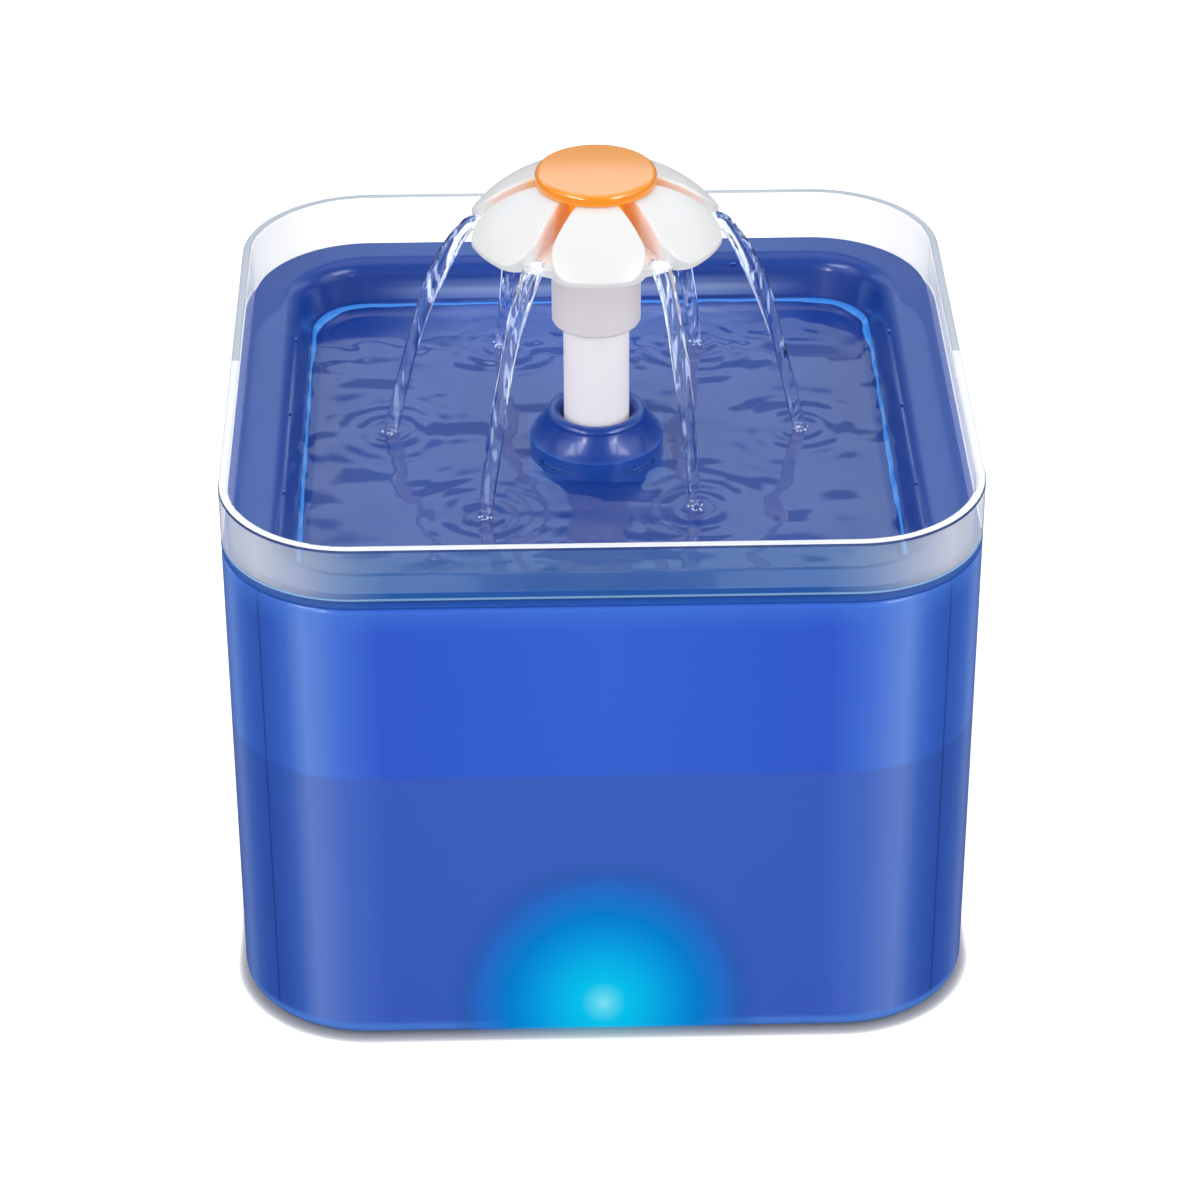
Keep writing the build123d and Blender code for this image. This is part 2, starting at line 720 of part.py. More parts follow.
# ---------------------------------------------------------------- pump housing
with BuildPart() as pump_housing:
    with BuildSketch(Plane.XY.offset(pump_base)):
        with Locations((0, (pump_front + pump_rear) / 2)):
            RectangleRounded(pump_width, pump_rear - pump_front, pump_corner_radius)
    extrude(amount=chin_top - pump_base)
    with BuildSketch(Plane.XY.offset(pump_base)) as upper_plan:
        with Locations((0, (pump_face + pump_rear) / 2)):
            Rectangle(pump_width, pump_rear - pump_face)
        fillet(upper_plan.vertices().sort_by(Axis.Y)[-2:], pump_corner_radius)
    extrude(amount=pump_top - pump_base)
    top_edges = pump_housing.faces().sort_by(Axis.Z)[-1].edges()
    fillet(top_edges.filter_by_position(Axis.Y, pump_face + seat_gap, pump_rear), pump_edge_radius)
    # chamber, rotor well and recess for the volute plate
    with BuildSketch(across_pump(chamber_back)):
        Circle(volute_radius)
    extrude(amount=volute_depth, mode=Mode.SUBTRACT)
    with BuildSketch(across_pump(well_back)):
        Circle(well_radius)
    extrude(amount=well_depth, mode=Mode.SUBTRACT)
    with BuildSketch(across_pump(pump_face + plate_thickness)):
        Circle(plate_radius + running_fit)
    extrude(amount=plate_thickness, mode=Mode.SUBTRACT)
    # pocket for the stator, open to the rear, round the closed end of the well
    with BuildSketch(across_pump(pump_rear)):
        with Locations((0, pocket_centre)):
            Rectangle(pocket_width, pocket_height)
    extrude(amount=pump_rear - well_back - well_wall, mode=Mode.SUBTRACT)
    with BuildSketch(across_pump(well_back + well_wall)):
        with Locations((0, pocket_centre)):
            Rectangle(pocket_width, pocket_height)
        Circle(well_radius + well_wall, mode=Mode.SUBTRACT)
    extrude(amount=well_back + well_wall - pocket_front, mode=Mode.SUBTRACT)
    # outlet spigot
    with BuildSketch(Plane.XY.offset(pump_top)):
        Circle(spigot_radius)
    extrude(amount=spigot_height)
    with BuildSketch(Plane.XY.offset(pump_top + spigot_height)):
        Circle(spigot_bore_radius)
    extrude(amount=-(spigot_height + pump_top - outlet_start), mode=Mode.SUBTRACT)
    # window recess and lamp chamber in the chin
    with BuildSketch(Plane.XZ.offset(-pump_front - window_thickness)):
        with Locations((0, window_centre)):
            RectangleRounded(window_width, window_height, window_corner)
    extrude(amount=window_thickness, mode=Mode.SUBTRACT)
    with BuildSketch(Plane.XZ.offset(-board_back)):
        with Locations((0, window_centre)):
            Rectangle(board_width, board_height)
    extrude(amount=board_back - pump_front - window_thickness, mode=Mode.SUBTRACT)
    # grooves for the intake cover's clips
    for side in (-1, 1):
        with Locations((side * half_pump, pump_face, slot_centre_height)):
            Box(
                2 * (clip_thickness + slip_gap),
                2 * (clip_length + slip_gap),
                clip_height + 2 * slip_gap,
                mode=Mode.SUBTRACT,
            )
    # sockets for the suction cups
    with BuildSketch(Plane.XY.offset(pump_base)):
        with Locations((0, cup_centre_y)):
            with GridLocations(cup_spacing_x, cup_spacing_y, 2, 2):
                Circle(cup_neck_radius)
    extrude(amount=cup_neck_length, mode=Mode.SUBTRACT)

# ---------------------------------------------------------------- plate and bushes
with BuildPart() as volute_plate:
    with BuildSketch(across_pump(pump_face + plate_thickness - seat_gap)):
        Circle(plate_radius)
        Circle(eye_radius, mode=Mode.SUBTRACT)
        Circle(bush_radius + spider_width)
        with PolarLocations(0, 3, start_angle=90):
            Rectangle(plate_radius - running_fit, spider_width, align=(Align.MIN, Align.CENTER))
    extrude(amount=plate_thickness - seat_gap)
    with BuildSketch(across_pump(pump_face + bush_length)):
        Circle(bush_radius + spider_width)
    extrude(amount=bush_length)
    with BuildSketch(across_pump(pump_face + bush_length)):
        Circle(bush_radius)
    extrude(amount=bush_length, mode=Mode.SUBTRACT)

with BuildPart() as front_bush:
    with BuildSketch(across_pump(pump_face + bush_length)):
        Circle(bush_radius)
        Circle(shaft_radius, mode=Mode.SUBTRACT)
    extrude(amount=bush_length)

with BuildPart() as rear_bush:
    with BuildSketch(across_pump(well_back)):
        Circle(well_radius)
        Circle(shaft_radius, mode=Mode.SUBTRACT)
    extrude(amount=bush_length)

with BuildPart() as rotor_shaft:
    with BuildSketch(across_pump(well_back)):
        Circle(shaft_radius)
    extrude(amount=well_back - pump_face)

# ---------------------------------------------------------------- rotor
blade_end = impeller_radius - impeller_blade_thickness
blade_arc = ThreePointArc(
    (impeller_hub_radius - shaft_radius / 2, 0),
    ((impeller_hub_radius + blade_end) / 2, blade_sweep / 2),
    (math.sqrt(blade_end**2 - blade_sweep**2), -blade_sweep),
)

with BuildPart() as impeller:
    with BuildSketch(across_pump(impeller_back)):
        Circle(impeller_radius)
    extrude(amount=impeller_disc_thickness)
    with BuildSketch(across_pump(impeller_back - impeller_disc_thickness)):
        with PolarLocations(0, impeller_blade_count):
            SlotArc(blade_arc, impeller_blade_thickness)
    extrude(amount=impeller_blade_depth)
    with BuildSketch(across_pump(magnet_front + magnet_length)):
        Circle(impeller_hub_radius)
    extrude(amount=magnet_front + magnet_length - impeller_front)
    with BuildSketch(across_pump(magnet_front + magnet_length)):
        Circle(shaft_radius + running_fit)
    extrude(amount=magnet_front + magnet_length - impeller_front, mode=Mode.SUBTRACT)

with BuildPart() as rotor_magnet:
    with BuildSketch(across_pump(magnet_front + magnet_length)):
        Circle(magnet_radius)
        Circle(impeller_hub_radius, mode=Mode.SUBTRACT)
    extrude(amount=magnet_length)

# ---------------------------------------------------------------- stator
with BuildPart() as stator_core:
    with BuildSketch(across_pump(core_front + core_depth)):
        with Locations((0, yoke_bottom)):
            Rectangle(
                2 * (core_bore_radius + core_leg),
                well_radius - yoke_bottom,
                align=(Align.CENTER, Align.MIN),
            )
        Circle(core_bore_radius, mode=Mode.SUBTRACT)
        with Locations((0, yoke_bottom + core_yoke)):
            Rectangle(
                2 * core_bore_radius,
                -yoke_bottom - core_yoke,
                align=(Align.CENTER, Align.MIN),
                mode=Mode.SUBTRACT,
            )
        Rectangle(
            core_gap,
            2 * core_bore_radius,
            align=(Align.CENTER, Align.MIN),
            mode=Mode.SUBTRACT,
        )
    extrude(amount=core_depth)

with BuildPart() as stator_coil:
    with BuildSketch(across_pump(core_front + core_depth + coil_build)):
        with Locations((0, yoke_bottom + core_yoke / 2)):
            Rectangle(coil_length, core_yoke + 2 * coil_build)
    extrude(amount=core_depth + 2 * coil_build)
    fillet(stator_coil.edges().filter_by(Axis.X), coil_corner)
    with BuildSketch(across_pump(core_front + core_depth)):
        with Locations((0, yoke_bottom + core_yoke / 2)):
            Rectangle(coil_length, core_yoke)
    extrude(amount=core_depth, mode=Mode.SUBTRACT)

with BuildPart() as cable_gland:
    with BuildSketch(across_pump(potting_rear - gland_depth)):
        with Locations((gland_offset_x, 0)):
            Circle(gland_radius)
    extrude(amount=-(gland_depth + gland_length), taper=gland_draft)
    with BuildSketch(across_pump(potting_rear)):
        with Locations((gland_offset_x, 0)):
            Circle(cable_radius)
    extrude(amount=-gland_length, mode=Mode.SUBTRACT)

with BuildPart() as potting:
    with BuildSketch(across_pump(potting_rear)):
        with Locations((0, pocket_centre)):
            Rectangle(pocket_width, pocket_height)
    extrude(amount=potting_rear - well_back - well_wall)
    with BuildSketch(across_pump(well_back + well_wall)):
        with Locations((0, pocket_centre)):
            Rectangle(pocket_width, pocket_height)
        Circle(well_radius + well_wall, mode=Mode.SUBTRACT)
    extrude(amount=well_back + well_wall - pocket_front)
    add(stator_core.part, mode=Mode.SUBTRACT)
    add(stator_coil.part, mode=Mode.SUBTRACT)
    add(cable_gland.part, mode=Mode.SUBTRACT)

# ---------------------------------------------------------------- intake cover
with BuildPart() as intake_cover:
    with BuildSketch(Plane.XZ.offset(-cover_rear)):
        with Locations((0, (cover_bottom + pump_top) / 2)):
            Rectangle(pump_width, pump_top - cover_bottom)
    extrude(amount=cover_rear - pump_front)
    front_face = intake_cover.faces().sort_by(Axis.Y)[0]
    fillet(front_face.edges(), cover_edge_radius)
    offset(amount=-cover_wall, openings=intake_cover.faces().sort_by(Axis.Y)[-1])
    # intake slots, in front on the left, and on both sides
    with BuildSketch(Plane.XZ.offset(-pump_front)):
        for index in range(intake_slot_count):
            slot_x = -slider_rest_x + (index - (intake_slot_count - 1) / 2) * intake_slot_pitch
            with Locations((slot_x, slot_centre_height)):
                SlotOverall(intake_slot_height, intake_slot_width, rotation=90)
    extrude(amount=-2 * cover_wall, mode=Mode.SUBTRACT)
    with BuildSketch(Plane.YZ.offset(-half_pump)):
        for index in range(2):
            slot_y = (pump_front + cover_rear) / 2 + (index - 0.5) * intake_slot_pitch
            with Locations((slot_y, slot_centre_height)):
                SlotOverall(side_slot_height, intake_slot_width, rotation=90)
    extrude(amount=pump_width, mode=Mode.SUBTRACT)
    # clips that run back into the housing's grooves
    for side in (-1, 1):
        clip_x = side * (half_pump - clip_thickness / 2)
        with Locations((clip_x, cover_rear - cover_wall, slot_centre_height)):
            Box(
                clip_thickness,
                clip_length + cover_wall,
                clip_height,
                align=(Align.CENTER, Align.MIN, Align.CENTER),
            )
    # rails for the flow slider
    with BuildSketch(Plane.YZ.offset(-rail_reach / 2)):
        for side in (-1, 1):
            rail_height = slot_centre_height + side * (slider_height / 2 + slip_gap)
            inner = Align.MIN if side > 0 else Align.MAX
            with Locations((pump_front, rail_height)):
                Rectangle(rail_depth, rail_wall, align=(Align.MAX, inner))
            with Locations((pump_front - rail_depth, rail_height - side * rail_lip)):
                Rectangle(rail_lip, rail_wall + rail_lip, align=(Align.MIN, inner))
    extrude(amount=rail_reach)

with BuildPart() as intake_sponge:
    with BuildSketch(Plane.XZ.offset(-cover_rear + slip_gap)):
        with Locations((0, (cover_bottom + pump_top) / 2)):
            Rectangle(
                pump_width - 2 * (cover_wall + slip_gap),
                pump_top - cover_bottom - 2 * (cover_wall + slip_gap),
            )
    extrude(amount=cover_rear - pump_front - cover_wall - 2 * slip_gap)
    fillet(intake_sponge.edges().filter_by(Axis.Y), cover_wall)

with BuildPart() as flow_slider:
    with BuildSketch(Plane.XZ.offset(-slider_back)):
        with Locations((slider_rest_x, slot_centre_height)):
            RectangleRounded(slider_width, slider_height, slider_thickness)
    extrude(amount=slider_thickness)
    with BuildSketch(Plane.XZ.offset(-slider_back)):
        with Locations((slider_rest_x, slot_centre_height)):
            RectangleRounded(slider_tab_width, slider_tab_height, slider_tab / 2)
    extrude(amount=slider_thickness + slider_tab)

# ---------------------------------------------------------------- light
with BuildPart() as led_window:
    with BuildSketch(Plane.XZ.offset(-pump_front - window_thickness)):
        with Locations((0, window_centre)):
            RectangleRounded(window_width, window_height, window_corner)
    extrude(amount=window_thickness)

with BuildPart() as led_board:
    with BuildSketch(Plane.XZ.offset(-board_back)):
        with Locations((0, window_centre)):
            Rectangle(board_width, board_height)
    extrude(amount=board_thickness)

with BuildPart() as leds:
    with BuildSketch(Plane.XZ.offset(-board_back + board_thickness)):
        with Locations((0, window_centre)):
            with GridLocations(led_pitch, led_pitch, led_count, 1):
                Circle(led_radius)
    extrude(amount=led_height)
    led_tips = leds.edges().filter_by(GeomType.CIRCLE).group_by(Axis.Y)[0]
    fillet(led_tips, led_tip_radius)

# ---------------------------------------------------------------- seal and suction cups
with BuildPart() as outlet_seal:
    with BuildSketch(Plane.XY.offset(pump_top)):
        Circle(seal_radius)
        Circle(spigot_radius, mode=Mode.SUBTRACT)
    extrude(amount=seal_thickness)

with BuildPart() as suction_cup:
    with BuildSketch(Plane.XZ):
        with BuildLine():
            Polyline(
                (0, pump_base + cup_neck_length),
                (cup_neck_radius, pump_base + cup_neck_length),
                (cup_neck_radius, pump_base),
            )
            ThreePointArc(
                (cup_neck_radius, pump_base),
                (cup_neck_radius + cup_lip, tank_floor_top + cup_waist_height),
                (cup_radius, tank_floor_top + cup_lip),
            )
            Polyline(
                (cup_radius, tank_floor_top + cup_lip),
                (cup_radius, tank_floor_top),
                (cup_radius - cup_lip, tank_floor_top),
                (cup_radius / 2, tank_floor_top + cup_lip),
                (0, tank_floor_top + cup_hollow_depth),
                (0, pump_base + cup_neck_length),
            )
        make_face()
    revolve(axis=Axis.Z)

with BuildPart() as suction_cups:
    with Locations((0, cup_centre_y)):
        with GridLocations(cup_spacing_x, cup_spacing_y, 2, 2):
            add(suction_cup.part)

# ---------------------------------------------------------------- files
pieces = {
    "tank": tank,
    "foot_pads": foot_pads,
    "cable_grommet": cable_grommet,
    "splash_ring": splash_ring,
    "tray": tray,
    "filter_basket": filter_basket,
    "filter_sponge": filter_sponge,
    "lower_felt": lower_felt,
    "carbon_bed": carbon_bed,
    "resin_bed": resin_bed,
    "upper_felt": upper_felt,
    "stem_tube": stem_tube,
    "flower": flower,
    "flower_cap": flower_cap,
    "pump_housing": pump_housing,
    "volute_plate": volute_plate,
    "front_bush": front_bush,
    "rear_bush": rear_bush,
    "rotor_shaft": rotor_shaft,
    "impeller": impeller,
    "rotor_magnet": rotor_magnet,
    "stator_core": stator_core,
    "stator_coil": stator_coil,
    "potting": potting,
    "cable_gland": cable_gland,
    "intake_cover": intake_cover,
    "intake_sponge": intake_sponge,
    "flow_slider": flow_slider,
    "led_window": led_window,
    "led_board": led_board,
    "leds": leds,
    "outlet_seal": outlet_seal,
    "suction_cups": suction_cups,
}
os.makedirs("parts", exist_ok=True)
for name, piece in pieces.items():
    piece.part.label = name
    export_step(piece.part, f"parts/{name}.step")
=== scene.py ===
"""Pet water fountain at work: see-through blue tank, clear splash ring, blue tray full of moving
water, white flower nozzle with an orange cap, and six streams that fall into the tray."""

import math

import bmesh
import bpy
from mathutils import Matrix, Vector, noise


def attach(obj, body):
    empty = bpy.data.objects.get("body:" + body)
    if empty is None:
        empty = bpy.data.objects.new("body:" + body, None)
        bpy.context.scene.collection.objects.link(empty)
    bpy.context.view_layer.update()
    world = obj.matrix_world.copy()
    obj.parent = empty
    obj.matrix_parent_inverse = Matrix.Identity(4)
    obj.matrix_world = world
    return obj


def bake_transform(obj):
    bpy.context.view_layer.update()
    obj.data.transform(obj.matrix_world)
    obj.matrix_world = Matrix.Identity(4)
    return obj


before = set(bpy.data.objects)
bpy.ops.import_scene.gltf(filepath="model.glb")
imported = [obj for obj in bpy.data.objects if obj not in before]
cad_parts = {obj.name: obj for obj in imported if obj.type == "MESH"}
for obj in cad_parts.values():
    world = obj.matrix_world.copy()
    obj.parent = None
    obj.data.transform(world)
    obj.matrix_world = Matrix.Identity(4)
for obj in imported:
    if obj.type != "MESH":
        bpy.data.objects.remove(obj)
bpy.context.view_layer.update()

MM = 0.001

# Lengths below are in millimetres.
# The body's outline is a rounded square: the circles of its corners sit at BODY_MIDDLE.
BODY_HALF = 90.0
BODY_MIDDLE = 58.0
RING_SKIN = 31.6
TRAY_LIP = 28.6
TRAY_FRONT = -50.0
RING_FRONT = -70.0
TANK_INSIDE_HALF = 87.3
TANK_INSIDE_CORNER = 29.3

# Heights on the solids, and the spans above them that the colour ramps cover.
COLLAR_PAINTED_GLOW_TOP = 119.8
SOFT_LIGHT_SPAN = 8.0
LIP_FOOT = 122.0
LIP_SPAN = 6.0
RING_FOOT = 124.0
RING_SPAN = 17.0
RING_RIM = 140.7
CHANNEL_FLOOR = 177.0
CHANNEL_HALF = 2.15
CAP_CROWN = 191.0

# The water in the tray and in the tank.
TRAY_WATER = 116.8
TRAY_FLOOR = 113.05
WATERLINE_MARK = 117.0
WATERLINE_HALF = 72.9
WATERLINE_CORNER = 16.4
WALL_START = 66.0
BASIN_SLOPE = math.tan(math.radians(18))
COLLAR_FOOT = 16.7
COLLAR_HALF = 17.0
TANK_WATER = 77.7
TANK_WATER_DEPTH = 1.2
STEM_CLEARANCE = 9.3

# How far the tray's water reaches into the plastic round it, and the basin's rounded foot.
WALL_OVERLAP = 0.9
COLLAR_OVERLAP = 0.8
FLOOR_OVERLAP = 0.3
BASIN_FOOT_HEIGHT = 3.0
BASIN_FOOT_RUN = 2.2

# Waves: rings that run out from where each stream lands, and the dent it presses.
RIPPLE_REACH = 26
RIPPLE_LENGTH = 5.2
DENT_DEPTH = 1.1
DENT_RADIUS = 1.3

# The lamp's glow painted on the tank's front: its middle, how far it reaches and how tall it
# stands.
GLOW_MIDDLE = (-0.8, -90.0, 8.5)
GLOW_REACH = 39.0
GLOW_FLATTENED = 0.87

# Where the six streams leave the flower's channels and where they land. Each starts a little
# inside its channel.
STREAM_STARTS = [(29.5 * math.cos(math.radians(a)), 29.5 * math.sin(math.radians(a)))
                 for a in (0, 60, 120, 180, 240, 300)]
STREAM_LANDINGS = [(51.2, 4.7), (27.1, 50.2), (-23.9, 50.0), (-51.5, 5.7), (-27.9, -35.2),
                   (23.3, -33.4)]
STREAM_START_HEIGHT = 179.0
STREAM_TUCK = 0.94


# ------------------------------------------------------------------ node tools
def add_node(tree, kind, **settings):
    """A node with its own settings."""
    made = tree.nodes.new(kind)
    for key, value in settings.items():
        setattr(made, key, value)
    return made


def fill(tree, socket, value):
    """Gives a socket a plain number, a plain colour or what another socket sends."""
    if isinstance(value, (int, float)):
        socket.default_value = value
    elif isinstance(value, tuple):
        socket.default_value = (*value, 1)
    else:
        tree.links.new(value, socket)


def set_inputs(node, values):
    """Plain values for a node's named inputs."""
    for key, value in values.items():
        node.inputs[key].default_value = value


def math_node(tree, operation, first, second=None, clamp=False):
    """A math node fed by sockets or plain numbers; gives back its output."""
    made = add_node(tree, "ShaderNodeMath", operation=operation, use_clamp=clamp)
    fill(tree, made.inputs[0], first)
    if second is not None:
        fill(tree, made.inputs[1], second)
    return made.outputs[0]


def ramp(tree, factor, stops, interpolation="EASE"):
    """A colour ramp with stops of (position, (r, g, b))."""
    made = add_node(tree, "ShaderNodeValToRGB")
    made.color_ramp.interpolation = interpolation
    elements = made.color_ramp.elements
    while len(elements) < len(stops):
        elements.new(1.0)
    for element, (position, colour) in zip(elements, stops):
        element.position = position
        element.color = (*colour, 1)
    tree.links.new(factor, made.inputs["Fac"])
    return made.outputs["Color"]


def mix_colour(tree, factor, first, second, blend="MIX"):
    """A colour mix fed by sockets or plain colours; gives back its output."""
    made = add_node(tree, "ShaderNodeMix", data_type="RGBA", blend_type=blend)
    for socket, value in ((made.inputs["Factor"], factor), (made.inputs[6], first),
                          (made.inputs[7], second)):
        fill(tree, socket, value)
    return made.outputs[2]


def srgb(red, green, blue):
    """A colour from 0 to 255 as the linear value that a shader takes."""
    def linear(value):
        value /= 255
        return value / 12.92 if value <= 0.04045 else ((value + 0.055) / 1.055) ** 2.4
    return (linear(red), linear(green), linear(blue))


def object_place(tree):
    """The coordinate node, and the place's x, y and z in metres."""
    where = add_node(tree, "ShaderNodeTexCoord")
    place = add_node(tree, "ShaderNodeSeparateXYZ")
    tree.links.new(where.outputs["Object"], place.inputs[0])
    return where, place.outputs


def height_in_mm(tree, place):
    """The place's height in millimetres."""
    return math_node(tree, "DIVIDE", place[2], MM)


def both_sides(tree, place):
    """Distances from the middle along x and along y."""
    return math_node(tree, "ABSOLUTE", place[0]), math_node(tree, "ABSOLUTE", place[1])


def part_of_span(tree, height, foot, span):
    """0 at the foot's height and 1 a span above it."""
    return math_node(tree, "DIVIDE", math_node(tree, "SUBTRACT", height, foot), span)


def times(tree, *factors):
    """Product of sockets and numbers."""
    product = factors[0]
    for factor in factors[1:]:
        product = math_node(tree, "MULTIPLY", product, factor)
    return product


def off_diagonal(tree, across, along):
    """0 on the corners' diagonals, 1 in the middle of each side."""
    return math_node(tree, "DIVIDE", math_node(tree, "ABSOLUTE", math_node(
        tree, "SUBTRACT", across, along)), BODY_HALF * MM)


def beyond_outline(tree, across, along, reach):
    """1 where a point lies further than reach outside the square of the corners' circles."""
    beyond = [math_node(tree, "POWER", math_node(tree, "MAXIMUM", math_node(
        tree, "SUBTRACT", side, BODY_MIDDLE * MM), 0.0), 2.0) for side in (across, along)]
    distance = math_node(tree, "SQRT", math_node(tree, "ADD", *beyond))
    return math_node(tree, "GREATER_THAN", distance, reach * MM)


def noise_texture(tree, vector, scale, detail=2.0):
    """A noise texture on a coordinate."""
    made = add_node(tree, "ShaderNodeTexNoise")
    set_inputs(made, {"Scale": scale, "Detail": detail})
    tree.links.new(vector, made.inputs["Vector"])
    return made


def relief(tree, height, strength, distance, **settings):
    """A bump node on a height; distance is in metres."""
    made = add_node(tree, "ShaderNodeBump", **settings)
    set_inputs(made, {"Strength": strength, "Distance": distance})
    tree.links.new(height, made.inputs["Height"])
    return made


def light_up(tree, shader, colour, strength=1.0):
    """Lets a shader glow in a plain colour or a socket's."""
    fill(tree, shader.inputs["Emission Color"], colour)
    fill(tree, shader.inputs["Emission Strength"], strength)


def new_group(name, inputs, outputs):
    """An empty shader group with named inputs and outputs."""
    group = bpy.data.node_groups.new(name, "ShaderNodeTree")
    for socket_name, kind, default in inputs:
        made = group.interface.new_socket(socket_name, in_out="INPUT", socket_type=kind)
        made.default_value = (*default, 1) if kind == "NodeSocketColor" else default
    for socket_name, kind in outputs:
        group.interface.new_socket(socket_name, in_out="OUTPUT", socket_type=kind)
    return group, group.nodes.new("NodeGroupInput"), group.nodes.new("NodeGroupOutput")


def new_material(name):
    """A material with its Principled BSDF."""
    material = bpy.data.materials.new(name)
    material.use_nodes = True
    tree = material.node_tree
    return material, tree, tree.nodes["Principled BSDF"]


# ------------------------------------------------------------------ shared effects
def make_moulded_skin():
    """Moulded plastic's skin: faint colour drift, haze in the gloss and a fine grain."""
    group, feed, out = new_group(
        "moulded_skin",
        [("Color", "NodeSocketColor", (0.8, 0.8, 0.8)), ("Drift", "NodeSocketFloat", 0.04),
         ("Roughness", "NodeSocketFloat", 0.25), ("Haze", "NodeSocketFloat", 0.08),
         ("Grain Scale", "NodeSocketFloat", 1500.0), ("Grain Depth", "NodeSocketFloat", 0.05)],
        [("Color", "NodeSocketColor"), ("Roughness", "NodeSocketFloat"),
         ("Normal", "NodeSocketVector")])
    place = add_node(group, "ShaderNodeTexCoord").outputs["Object"]
    broad = noise_texture(group, place, 28, 3)
    smudge = noise_texture(group, place, 120, 5)
    grain = noise_texture(group, place, 1500)
    group.links.new(feed.outputs["Grain Scale"], grain.inputs["Scale"])
    drift = math_node(group, "MULTIPLY", math_node(group, "SUBTRACT", broad.outputs["Fac"], 0.5),
                      feed.outputs["Drift"])
    bright = math_node(group, "ADD", 1.0, math_node(group, "MULTIPLY", drift, 2.0))
    shade = add_node(group, "ShaderNodeVectorMath", operation="SCALE")
    group.links.new(feed.outputs["Color"], shade.inputs[0])
    group.links.new(bright, shade.inputs["Scale"])
    group.links.new(shade.outputs[0], out.inputs["Color"])
    haze = math_node(group, "MULTIPLY", math_node(group, "SUBTRACT", smudge.outputs["Fac"], 0.5),
                     feed.outputs["Haze"])
    group.links.new(math_node(group, "ADD", feed.outputs["Roughness"], haze, clamp=True),
                    out.inputs["Roughness"])
    bump = relief(group, grain.outputs["Fac"], 1.0, 0.0002)
    group.links.new(feed.outputs["Grain Depth"], bump.inputs["Strength"])
    group.links.new(bump.outputs["Normal"], out.inputs["Normal"])
    return group


MOULDED_SKIN = make_moulded_skin()


def skin(tree, shader, colour, drift=0.04, roughness=0.25, haze=0.08, grain=1500.0, depth=0.05):
    """Puts the moulded skin on a shader; colour is a plain colour or a socket."""
    made = add_node(tree, "ShaderNodeGroup", node_tree=MOULDED_SKIN)
    fill(tree, made.inputs["Color"], colour)
    set_inputs(made, {"Drift": drift, "Roughness": roughness, "Haze": haze,
                      "Grain Scale": grain, "Grain Depth": depth})
    for given, wanted in (("Color", "Base Color"), ("Roughness", "Roughness"),
                          ("Normal", "Normal")):
        tree.links.new(made.outputs[given], shader.inputs[wanted])


def let_light_through(tree, shader, amount):
    """Lets lamps shine through a clear piece, so that its shadow is pale."""
    clear = add_node(tree, "ShaderNodeBsdfTransparent")
    mixer = add_node(tree, "ShaderNodeMixShader")
    path = add_node(tree, "ShaderNodeLightPath")
    tree.links.new(times(tree, path.outputs["Is Shadow Ray"], amount), mixer.inputs["Fac"])
    tree.links.new(shader.outputs["BSDF"], mixer.inputs[1])
    tree.links.new(clear.outputs[0], mixer.inputs[2])
    tree.links.new(mixer.outputs[0], tree.nodes["Material Output"].inputs["Surface"])


def seen_directly(tree, path):
    """1 for what the camera sees straight or through clear pieces."""
    return math_node(tree, "ADD", path.outputs["Is Camera Ray"],
                     path.outputs["Is Transmission Ray"], clamp=True)


# ------------------------------------------------------------------ materials
def plain_plastic(name, colour, roughness=0.25, **detail):
    """A solid-coloured moulded plastic, rubber or resin."""
    material, tree, shader = new_material(name)
    skin(tree, shader, colour, roughness=roughness, **detail)
    return material


